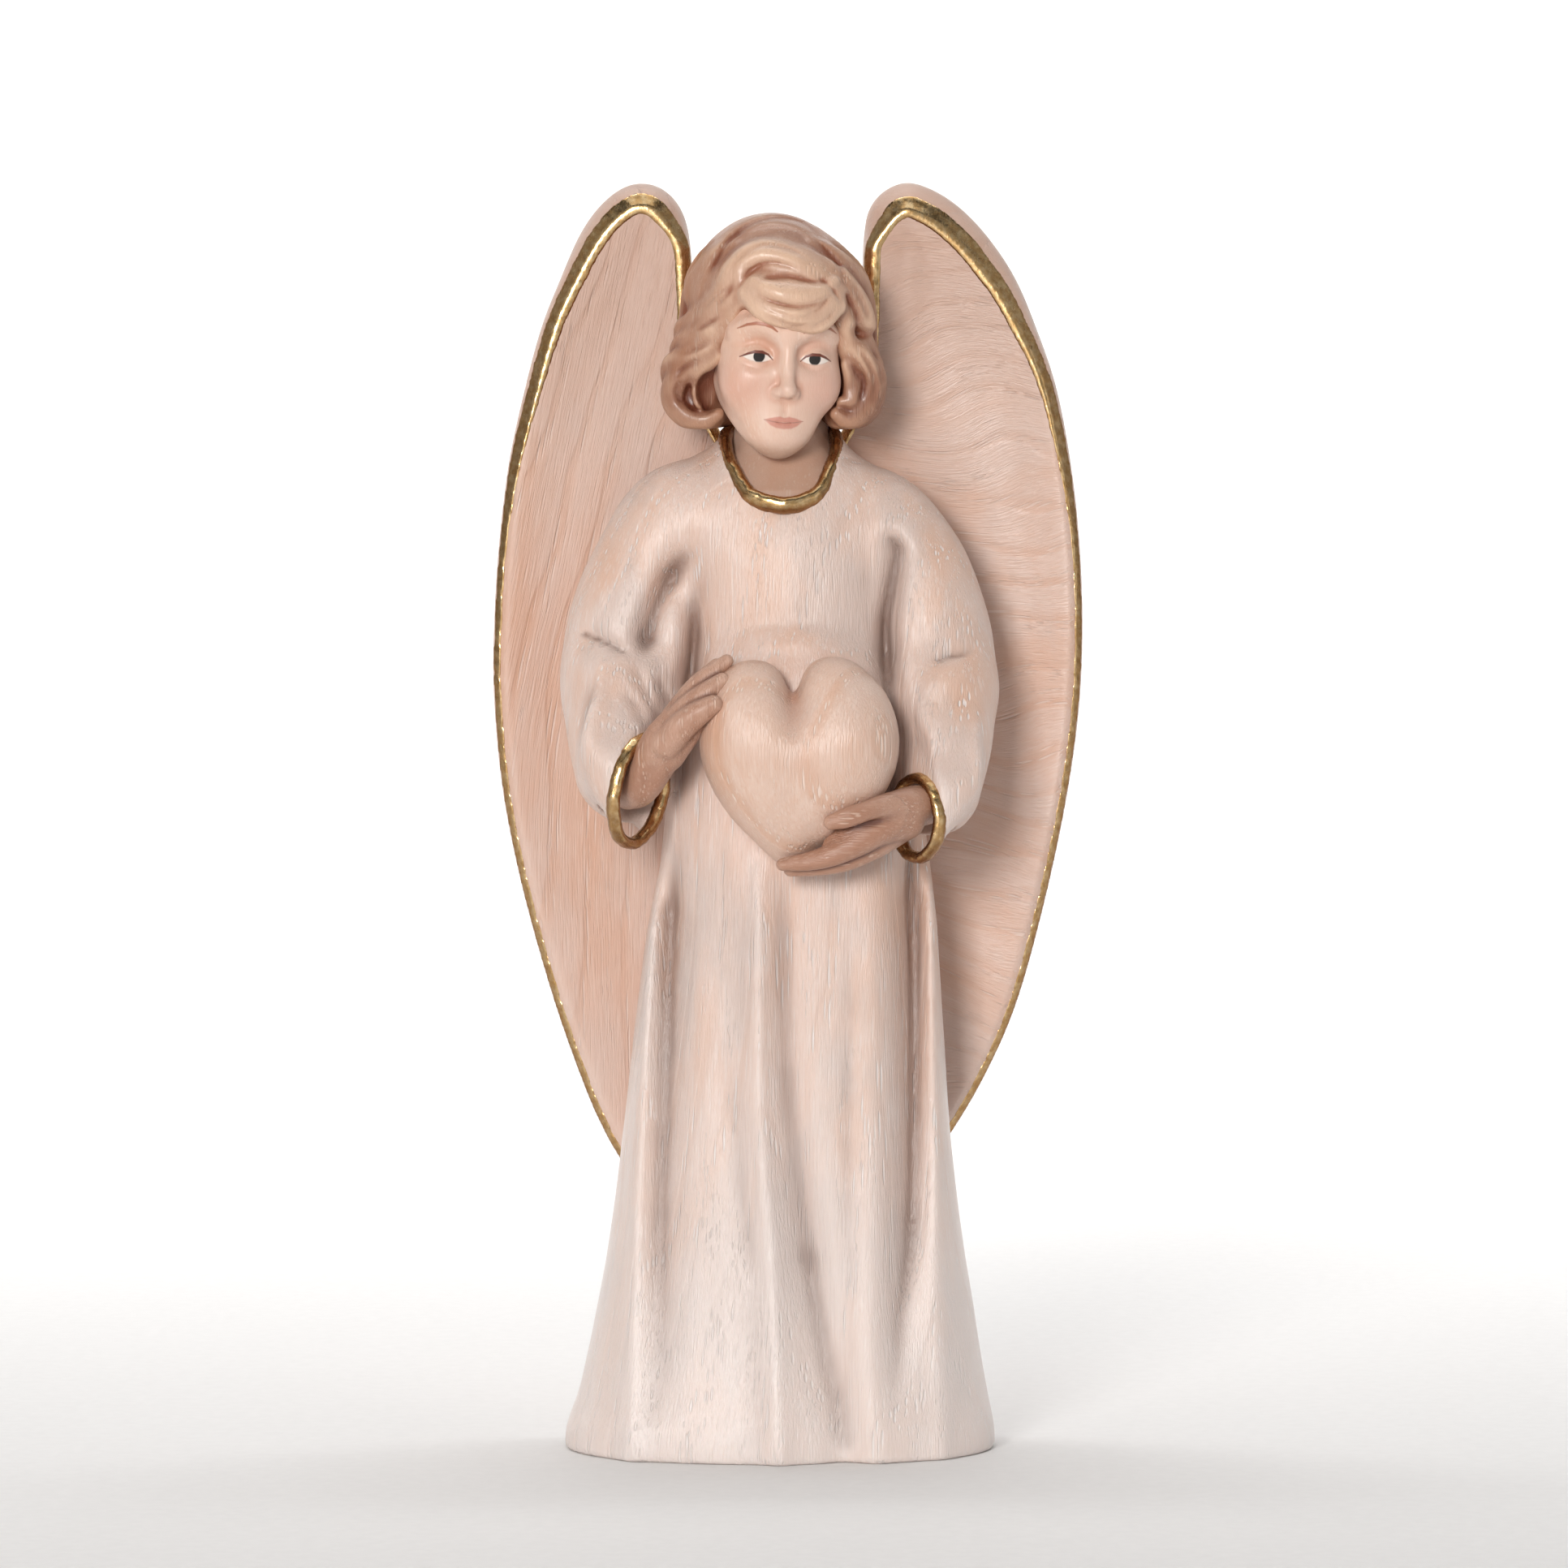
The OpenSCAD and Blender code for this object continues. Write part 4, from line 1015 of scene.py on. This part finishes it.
def wing_grain(side):
    """The right board's fibres stand steeply, the left board shows wavy rings across it."""
    def grain(local, world):
        x, u, z = local.T
        if side < 0:
            tilt = np.radians(14) * ease((z - 60) / 50)
            across = x * np.cos(tilt) - (z - 80) * np.sin(tilt) * 0.8 + 0.5 * u
            return np.stack([across, u, z * np.cos(tilt) + x * np.sin(tilt)], 1)
        across = z + 0.10 * x + 2.2 * np.sin(x * 0.13 + z * 0.05) + 0.8 * np.sin(z * 0.21 + x * 0.3)
        return np.stack([across, u, x + 0.1 * z], 1)
    return grain


make_wing("wing_left", WING_LEFT, 1)
make_wing("wing_right", WING_RIGHT, -1)


# ---- Head and hair --------------------------------------------------------------------------

HEAD_MIDDLE = np.array((-0.8, -3.6, 141.0))
HEAD_TILT = Euler((math.radians(5), math.radians(3), 0)).to_matrix()
HEAD_TURN = np.array(Matrix.Rotation(math.radians(12), 3, "Z") @ HEAD_TILT)


def head_place(v):
    """Points of the head's own frame in the figure's."""
    return v @ HEAD_TURN.T + HEAD_MIDDLE


def to_head(x, y, z, *rest):
    """A point of the figure in the head's own frame, keeping any radius."""
    return tuple((np.array((x, y, z)) - HEAD_MIDDLE) @ HEAD_TURN) + rest


def make_head():
    room = (-10.2, -13.6, -27.5), (10.2, 12, 13.6), 0.18
    clay = Clay(*room)
    # skull, face, jaw and chin
    clay.ball((0, 1.6, 3.4), (8.5, 9.4, 9.2))
    clay.ball((0, -2.2, -1.4), (7.9, 7.3, 8.2), 2.0)
    clay.ball((0, -2.6, -6.4), (6.2, 6.3, 6.0), 2.6)
    clay.ball((0, -6.1, -11.9), (2.9, 2.9, 3.1), 3.2)
    for s in (-1, 1):
        clay.limb([(s * 6.1, 1.0, -5.2, 1.3), (s * 5.0, -1.6, -8.8, 1.5), (s * 2.9, -4.6, -11.8, 1.7),
                   (s * 0.6, -6.0, -12.8, 1.9)], 2.2)
        clay.ball((s * 4.3, -5.9, -6.4), (3.0, 2.5, 3.0), 3.2)  # cheek
        clay.ball((s * 3.6, -10.0, -2.1), (2.6, 2.1, 1.8), 1.8, carve=True)  # eye socket
        clay.ball((s * 3.6, -6.85, -2.75), (2.1, 1.95, 1.75), 0.6)  # eyeball under its lids
        clay.limb([(s * 1.0, -8.8, 0.2, 0.8), (s * 2.8, -8.85, 1.15, 0.95), (s * 4.8, -7.9, 1.1, 0.9),
                   (s * 6.3, -6.2, 0.0, 0.7)], 1.5)  # brow
    # nose
    clay.limb([(0, -8.6, 0.9, 0.9), (0, -9.1, -1.6, 0.65), (0, -10.0, -4.6, 0.72),
               (0, -10.6, -6.4, 0.85)], 1.3)
    clay.ball((0, -10.6, -6.75), (0.95, 0.9, 0.8), 0.8)
    for s in (-1, 1):
        clay.ball((s * 1.05, -9.5, -7.05), (0.7, 1.0, 0.62), 0.6)
        clay.ball((s * 0.58, -10.0, -7.7), (0.26, 0.45, 0.2), 0.2, carve=True)
    # the mouth's mound, the lips and the groove under the nose
    clay.ball((0, -7.1, -10.5), (3.9, 1.9, 3.0), 2.6)
    clay.limb([(-2.4, -8.2, -10.58, 0.22), (-0.95, -9.05, -10.36, 0.48), (0, -9.15, -10.5, 0.42),
               (0.95, -9.05, -10.36, 0.48), (2.4, -8.2, -10.58, 0.22)], 0.45)
    clay.limb([(-1.9, -8.3, -10.86, 0.3), (0, -8.95, -11.25, 0.68), (1.9, -8.3, -10.86, 0.3)], 0.45)
    clay.stroke([(0, -9.9, -8.5), (0, -9.6, -9.9)], 0.55, 0.2, (0.3, 0.3))
    clay.stroke([(-2.7, -8.0, -10.52), (-0.9, -9.4, -10.78), (0, -9.5, -10.88), (0.9, -9.4, -10.78),
                 (2.7, -8.0, -10.52)], 0.22, 0.26, (0.15, 0.15))
    clay.stroke([(-1.5, -8.5, -12.4), (0, -8.8, -12.5), (1.5, -8.5, -12.4)], 0.8, 0.2, (0.4, 0.4))
    for s in (-1, 1):
        # the upper lid and its fold, and the lower lid
        lid = [(s * 1.75, -7.9, -3.15), (s * 2.5, -8.5, -2.45), (s * 3.6, -8.75, -2.15),
               (s * 4.7, -8.35, -2.4), (s * 5.6, -7.3, -2.95)]
        clay.stroke(lid, 0.36, -0.3, (0.15, 0.15))
        clay.stroke([(x, y - 0.1, z + 1.05) for x, y, z in lid], 0.34, 0.2, (0.3, 0.3))
        clay.stroke([(s * 2.0, -8.0, -3.5), (s * 3.6, -8.55, -3.85), (s * 5.2, -7.6, -3.5)], 0.32,
                    -0.12, (0.4, 0.4))
        # ear
        clay.ball((s * 8.1, 0.6, -3.6), (1.1, 1.8, 2.9), 0.8, tilt=(-12, 0, s * 14))
        clay.ball((s * 8.9, 0.0, -3.2), (0.6, 1.0, 1.6), 0.5, carve=True)
    # neck and the chest inside the neckline
    neck = Clay(*room)
    neck.limb([to_head(-0.3, -0.4, 135, 4.3), to_head(-0.1, -0.9, 129, 4.4), to_head(0, -1.4, 123, 4.8),
               to_head(0, -1.6, 116, 5.2)])
    cut, x, y, z = clay.window((-99, -99, -99), (99, 99, -8))
    local = np.stack(np.broadcast_arrays(x, y, z), -1)
    world = local @ HEAD_TURN.T + HEAD_MIDDLE
    wx, wy, wz = (world[..., i].astype(np.float32) for i in range(3))
    chest = body_form(wx, wy, wz, folded=False) + 0.4 + 0.42 * np.maximum(wz - 121, 0) * ease(0.5 - wy / 6)
    low = soft_min(neck.d[cut], np.maximum(chest, wz - 129.5), 2.4)
    low = soft_max(low, np.maximum(neck_funnel(wx, wy, wz) + 0.12, 114.5 - wz), 0.2)
    clay.d[cut] = soft_min(clay.d[cut], low, 0.7)
    sculpted("head_carved", clay, skin_look, "skin_stain", ["head"], grain_upright, head_place,
             rounds=2, reach=0.9, broad=1.0)


make_head()


def make_hair():
    clay = Clay((-17, -17.5, 127), (15.5, 11, 157), 0.22)
    # cap with a step over the brow, and nape
    clay.ball((-1.2, -1.2, 144.4), (10.5, 10.9, 11.3))
    clay.ball((-0.6, -3.6, 144.6), (8.9, 9.7, 9.7), 0.6)
    clay.ball((-1.0, 1.0, 139.5), (10.6, 9.0, 9.0), 2.0)
    clay.ball((-5.8, 3.2, 135.2), (5.8, 5.4, 6.2), 1.6)
    clay.ball((4.4, 3.8, 135.2), (5.6, 5.2, 6.2), 1.6)
    # the face's opening
    clay.ball((0.9, -14.5, 140.4), (8.8, 7.2, 5.6), 0.6, tilt=(0, 0, 12), carve=True)
    clay.ball((0.2, -13.0, 131.6), (8.0, 11.5, 9.2), 0.6, tilt=(0, 0, 12), carve=True)
    for s, wide in ((-1, 5.2), (1, 5.0)):
        clay.ball((-0.9 + s * 5.0, -4.6, 144.6), (wide, 5.6, 5.4), 1.6)  # the mass behind the front locks
    # puffs over the ears
    for joints, k in (
        ([(-8.2, -3.6, 138.0, 2.6), (-10.8, -3.2, 136.0, 3.3), (-10.9, -2.4, 132.9, 3.6),
          (-9.2, -2.0, 130.8, 2.4)], 1.2),
        ([(-9.0, 1.0, 138.0, 3.6), (-10.4, 1.4, 134.6, 4.0), (-8.6, 1.4, 131.6, 3.0)], 1.6),
        ([(8.2, -3.6, 138.4, 2.4), (9.6, -3.2, 135.6, 3.5), (9.3, -2.6, 132.4, 3.6),
          (7.8, -2.4, 130.4, 2.3)], 1.2),
        ([(8.2, 1.0, 138.0, 3.6), (9.2, 1.4, 134.6, 3.9), (7.6, 1.6, 131.6, 3.0)], 1.6),
    ):
        clay.limb(joints, k)
    # waves that sweep down from the forehead to the temples, each over the one below
    for joints, k in (
        ([(-7.8, -8.4, 137.8, 0.9), (-10.2, -7.2, 136.4, 1.4), (-12.6, -5.6, 134.9, 1.8),
          (-13.2, -4.8, 132.3, 1.8), (-11.8, -5.4, 130.3, 1.6), (-9.6, -6.2, 129.7, 1.3),
          (-8.0, -6.6, 130.5, 0.9)], 0.8),
        ([(-7.4, -9.0, 140.4, 0.9), (-9.6, -7.8, 138.5, 1.6), (-12.0, -6.0, 137.3, 1.7),
          (-13.5, -4.0, 136.6, 1.4), (-13.3, -0.8, 135.0, 1.7), (-11.8, 2.6, 133.2, 1.6)], 0.8),
        ([(-6.6, -9.6, 142.8, 0.9), (-8.7, -8.4, 141.0, 1.6), (-10.8, -6.6, 139.9, 1.6),
          (-12.0, -4.6, 139.4, 1.4), (-12.3, -1.4, 138.2, 1.7), (-11.4, 2.2, 136.6, 1.8)], 0.8),
        ([(-4.6, -10.4, 146.4, 1.4), (-7.2, -8.9, 144.5, 1.8), (-9.4, -7.1, 142.5, 1.8),
          (-10.8, -5.2, 141.8, 1.5), (-11.6, -2.0, 141.0, 1.8), (-11.3, 1.8, 139.6, 1.9),
          (-9.8, 5.2, 137.0, 1.7)], 1.0),
        ([(8.0, -7.6, 139.6, 1.1), (9.7, -6.6, 137.6, 1.9), (11.0, -5.2, 134.9, 2.1),
          (10.4, -5.0, 131.8, 2.0), (8.6, -5.8, 129.9, 1.5), (7.0, -6.6, 130.5, 0.9)], 0.9),
        ([(3.2, -9.6, 150.0, 1.0), (6.2, -8.6, 147.6, 2.0), (8.8, -6.6, 144.1, 2.3), (10.0, -5.0, 141.2, 2.0),
          (9.8, -4.2, 138.6, 1.9), (9.8, -3.6, 136.4, 1.8)], 1.4),
        ([(5.6, -9.8, 145.6, 1.5), (7.4, -8.5, 143.0, 1.6), (8.2, -7.7, 140.4, 1.4),
          (8.4, -7.0, 138.2, 1.2)], 0.5),
        # small curls inside the rolled ends
        ([(-9.4, -7.4, 136.0, 0.8), (-10.4, -6.9, 134.0, 1.2), (-9.9, -6.9, 132.2, 1.2),
          (-8.7, -7.2, 131.9, 0.7)], 0.6),
        ([(8.3, -7.2, 136.6, 0.8), (9.0, -6.7, 134.4, 1.2), (8.7, -6.6, 132.4, 1.2),
          (7.6, -6.9, 132.0, 0.7)], 0.6),
        # combed waves behind the front locks, down both sides
        ([(3.6, -7.0, 151.4, 0.7), (6.4, -5.4, 149.6, 1.6), (8.8, -3.2, 146.6, 2.3), (9.9, -1.4, 142.4, 2.2),
          (10.0, -0.4, 138.2, 2.0)], 1.5),
        ([(4.4, -2.0, 152.4, 0.7), (6.9, -0.6, 150.1, 1.6), (8.8, 1.4, 146.8, 2.4), (9.6, 2.8, 142.0, 2.3),
          (9.4, 3.6, 137.0, 2.1)], 1.5),
        ([(-5.6, -6.8, 151.2, 0.7), (-8.1, -5.2, 149.2, 1.5), (-10.0, -2.8, 146.0, 2.1),
          (-10.6, 0.4, 142.8, 2.0), (-10.0, 3.6, 140.4, 2.0)], 1.5),
        ([(-6.2, -2.2, 152.0, 0.7), (-8.5, -0.8, 149.8, 1.5), (-10.0, 2.2, 146.8, 2.2),
          (-9.8, 5.0, 142.8, 2.1)], 1.5),
        # the arc of hair above the fringe's curl, the curl and the lock that ends it
        ([(-6.6, -9.5, 145.4, 1.4), (-5.6, -9.9, 148.0, 1.9), (-2.8, -10.2, 149.9, 2.2),
          (0.4, -10.5, 149.2, 2.4), (3.4, -10.5, 147.5, 2.2), (6.0, -9.8, 145.4, 1.6)], 1.3),
        ([(-3.7, -10.9, 146.6, 1.9), (-1.9, -11.2, 145.3, 3.0), (1.3, -11.4, 144.5, 3.5),
          (4.6, -10.9, 144.2, 2.8), (6.7, -10.2, 145.0, 1.5)], 0.9),
        # three locks that cross the curl and turn up at its end
        ([(-4.4, -12.4, 145.6, 0.7), (-2.2, -13.3, 143.6, 1.5), (1.0, -13.9, 142.7, 1.6),
          (4.2, -13.0, 143.0, 1.3), (6.4, -11.4, 144.8, 0.7)], 0.7),
        ([(-3.4, -12.6, 147.2, 0.6), (-0.8, -13.6, 145.6, 1.5), (2.2, -13.6, 145.0, 1.5),
          (5.0, -12.4, 145.6, 1.1), (6.6, -10.9, 147.0, 0.6)], 0.7),
        ([(1.6, -13.2, 141.6, 0.8), (4.6, -12.5, 141.9, 1.4), (7.1, -10.9, 143.8, 1.0)], 0.5),
    ):
        clay.limb(joints, k)
    # creases between the locks, the hollow by the ear and the soft bands over the crown
    clay.ball((-8.9, -7.4, 133.3), (1.6, 2.2, 2.4), 0.8, carve=True)
    for points, width, depth, ends, sharp in [
        ([(-9.9, 141.0), (-9.6, 145.4), (-7.2, 150.4), (-3.2, 153.2), (1.4, 153.1), (5.4, 150.4),
          (7.8, 146.4)], 0.8, 0.25, (0.2, 0.2), False),
        ([(-5.2, 145.6), (-3.6, 148.0), (-0.8, 148.6), (2.0, 147.4), (4.4, 146.8)], 1.1, 0.3,
         (0.3, 0.4), False),
        ([(2.6, 142.6), (4.8, 143.6), (6.6, 145.6)], 0.4, 0.4, (0.3, 0.3), True),
        ([(3.4, 141.0), (5.4, 142.0), (7.0, 143.6)], 0.35, 0.35, (0.3, 0.3), True),
        ([(4.2, 147.9), (6.2, 146.2), (7.6, 144.2)], 0.5, 0.45, (0.4, 0.2), True),
        ([(-2.4, 147.2), (-0.6, 146.9), (1.2, 146.0)], 0.6, 0.16, (0.4, 0.4), False),
        ([(-6.0, 146.8), (-8.0, 145.2), (-9.8, 143.4)], 0.45, 0.3, (0.3, 0.3), True),
        ([(8.6, 140.9), (10.4, 140.6), (12.6, 140.2)], 0.7, 0.5, (0.3, 0.2), False),
        ([(8.2, 138.2), (9.3, 136.0), (8.9, 133.2), (7.6, 131.4)], 0.8, 0.4, (0.3, 0.4), False),
        ([(-10.6, 135.2), (-11.4, 133.2), (-10.6, 131.4)], 0.6, 0.35, (0.4, 0.4), False),
    ]:
        clay.stroke(points, width, depth, ends, front=-1.5, sharp=sharp)
    # the back and sides: broad waves combed down from the crown
    for i in range(11):
        a = math.radians(-72 + 264 * i / 10)
        lean = 0.16 * math.sin(i * 2.1)
        path = []
        for high, grow in ((154.0, 4.6), (150.5, 8.6), (145.5, 10.8), (140.5, 10.9),
                           (135.5, 10.6), (131.0, 8.8)):
            w = a + lean * (154 - high) / 10
            path.append((-1.1 + grow * math.cos(w), 0.8 + grow * 0.98 * math.sin(w), high))
        if math.sin(a) > -0.25:
            clay.stroke(path, 0.8, 0.42, (0.2, 0.15))
    # fine strands over the locks
    for points in (
        [(-6.8, 146.4), (-5.4, 149.6), (-2.2, 151.4), (1.6, 150.7), (4.6, 148.6)],
        [(-5.8, 144.6), (-4.6, 147.2), (-2.2, 149.2), (1.0, 148.9), (3.6, 147.4)],
        [(-3.8, 146.2), (-1.6, 147.4), (1.4, 147.5), (4.2, 146.9), (6.2, 146.6)],
        [(-3.8, 145.9), (-1.4, 144.6), (1.8, 143.8), (4.6, 144.2), (6.4, 145.6)],
        [(-3.6, 144.6), (-0.9, 143.2), (2.2, 142.4), (5.0, 143.0), (6.8, 144.6)],
        [(-3.0, 143.4), (-0.8, 142.2), (2.2, 141.5), (4.4, 142.0)],
        [(-8.6, 143.6), (-6.8, 145.2), (-5.8, 147.0)], [(-10.8, 140.6), (-8.8, 141.9), (-7.4, 142.7)],
        [(-12.8, 137.9), (-10.6, 138.6), (-8.2, 139.9)], [(-13.4, 134.4), (-12.2, 136.2), (-9.6, 137.4)],
        [(-12.0, 131.2), (-13.0, 133.2), (-12.2, 135.2)], [(-10.2, 130.4), (-11.9, 132.2), (-11.4, 134.2)],
        [(7.2, 146.4), (9.0, 144.0), (10.2, 141.2)], [(8.6, 147.0), (10.2, 144.2), (11.2, 141.6)],
        [(8.8, 139.4), (10.9, 136.8), (11.8, 134.0), (11.0, 131.2)],
        [(9.6, 136.8), (10.4, 134.4), (9.6, 131.4)],
        [(10.6, 139.6), (12.2, 136.6), (12.8, 133.6)],
        [(-8.2, 150.0), (-5.2, 153.4), (-1.2, 154.9), (2.8, 154.2), (6.2, 151.4)],
        [(-9.2, 147.4), (-6.8, 151.8), (-3.0, 154.2)], [(3.4, 153.0), (6.8, 149.6), (8.6, 145.6)],
    ):
        clay.stroke(points, 0.34, 0.3, (0.35, 0.35), front=-1.5)
    # it ends above the shoulders and in front of the wings
    cut, _, _, z = clay.window()
    clay.carve(np.broadcast_to(z - 128.5, clay.d.shape), cut, 0.5)
    sculpted("hair_carved", clay, hair_look, "hair_stain", ["hair"], grain_upright,
             rounds=2, reach=0.8, broad=1.8, deep=0.5)


make_hair()


# ---- Hidden parts, floor, light and camera --------------------------------------------------


def plain_wood():
    look = Look("bare_wood")
    place = look.stretch(look.node("TexCoord", {}, "Object"), (1 / MM,) * 3)
    colour, height, rough, _ = wood_parts(look, paint(214, 184, 146), paint(196, 158, 116),
                                          paint(228, 204, 172), ring=3.0, seed=71.0, place=place)
    return look.finish(Base_Color=colour, Roughness=rough, Normal=look.bump(height, 0.08))


bare_look = plain_wood()
for name in ("wing_dowels", "neck_dowel", "heart_dowel"):
    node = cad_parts[name]
    node.data.materials.clear()
    node.data.materials.append(bare_look)


def pale_paper(name, tone):
    look = Look(name)
    place = look.stretch(look.node("TexCoord", {}, "Object"), (1 / MM,) * 3)
    specks = look.noise(place, (0.5, 0.5, 0.5), 3.0, 0.6)
    colour = look.mix(look.step(specks, 0.3, 0.7), paint(*tone), paint(*[c + 3 for c in tone]))
    return look.finish(Base_Color=colour, Roughness=look.step(specks, 0.2, 0.8, 0.7, 0.8),
                       Specular_IOR_Level=0.2)


def make_backdrop():
    """A pale round floor that sweeps up into a pale wall all round the figure."""
    wall, bend, tall, around = 2600, 900, 2600, 96
    # radius and height from the middle of the floor to the top of the wall
    profile = [(0.001, 0), (400, 0), (wall - bend, 0)]
    profile += [(wall - bend + bend * math.sin(a), bend - bend * math.cos(a))
                for a in np.linspace(0.06, math.pi / 2, 20)]
    profile += [(wall, tall)]
    turn = [2 * math.pi * i / around for i in range(around)]
    verts = [(r * math.sin(a) * MM, r * math.cos(a) * MM, z * MM) for r, z in profile for a in turn]
    faces = [(i * around + j, i * around + (j + 1) % around, (i + 1) * around + (j + 1) % around,
              (i + 1) * around + j)
             for i in range(len(profile) - 1) for j in range(around)]
    mesh = bpy.data.meshes.new("backdrop")
    mesh.from_pydata(verts, [], faces)
    mesh.shade_smooth()
    mesh.materials.append(pale_paper("backdrop_paper", (238, 237, 236)))
    floor = bpy.data.objects.new("backdrop", mesh)
    bpy.context.scene.collection.objects.link(floor)


make_backdrop()


def softbox(name, place, aim, size, power, warmth=(1, 1, 1)):
    """A rectangular light; its place, aim and size are in metres and its power in watts."""
    light = bpy.data.lights.new(name, "AREA")
    light.shape, light.size, light.size_y = "RECTANGLE", size[0], size[1]
    light.energy, light.color = power, warmth
    box = bpy.data.objects.new(name, light)
    box.location = place
    box.rotation_mode = "QUATERNION"
    box.rotation_quaternion = (Vector(aim) - Vector(place)).to_track_quat("-Z", "Y")
    bpy.context.scene.collection.objects.link(box)


softbox("key", (-0.25, -0.97, 0.33), (0, 0, 0.07), (0.25, 0.28), 6.6, (1.0, 0.985, 0.965))
softbox("fill", (0.9, -0.6, 0.16), (0, 0, 0.06), (0.5, 0.5), 0.5, (0.96, 0.98, 1.0))
softbox("overhead", (0.0, -0.1, 1.1), (0, 0, 0.1), (1.0, 0.7), 2.2)
softbox("backdrop_light", (0.0, 0.5, 1.5), (0, 2.3, 0.6), (1.6, 0.5), 60.0)

scene = bpy.context.scene
world = bpy.data.worlds.new("studio")
world.use_nodes = True
world.node_tree.nodes["Background"].inputs["Color"].default_value = (0.9, 0.94, 1.0, 1.0)
world.node_tree.nodes["Background"].inputs["Strength"].default_value = 0.03
scene.world = world
scene.view_settings.view_transform = "Standard"

CAMERA_FAR = 1000  # millimetres from the figure
camera = bpy.data.cameras.new("camera")
camera.sensor_width = 36.0
camera.lens = 183.0
eye = bpy.data.objects.new("camera", camera)
aim = Vector((0.4, -5.0, 84.1)) * MM
tilt = math.radians(3.0)
eye.location = aim + Vector((0, -math.cos(tilt), math.sin(tilt))) * CAMERA_FAR * MM
eye.rotation_mode = "QUATERNION"
eye.rotation_quaternion = (aim - eye.location).to_track_quat("-Z", "Y")
camera.clip_start, camera.clip_end = 0.05, 10.0
scene.collection.objects.link(eye)
scene.camera = eye
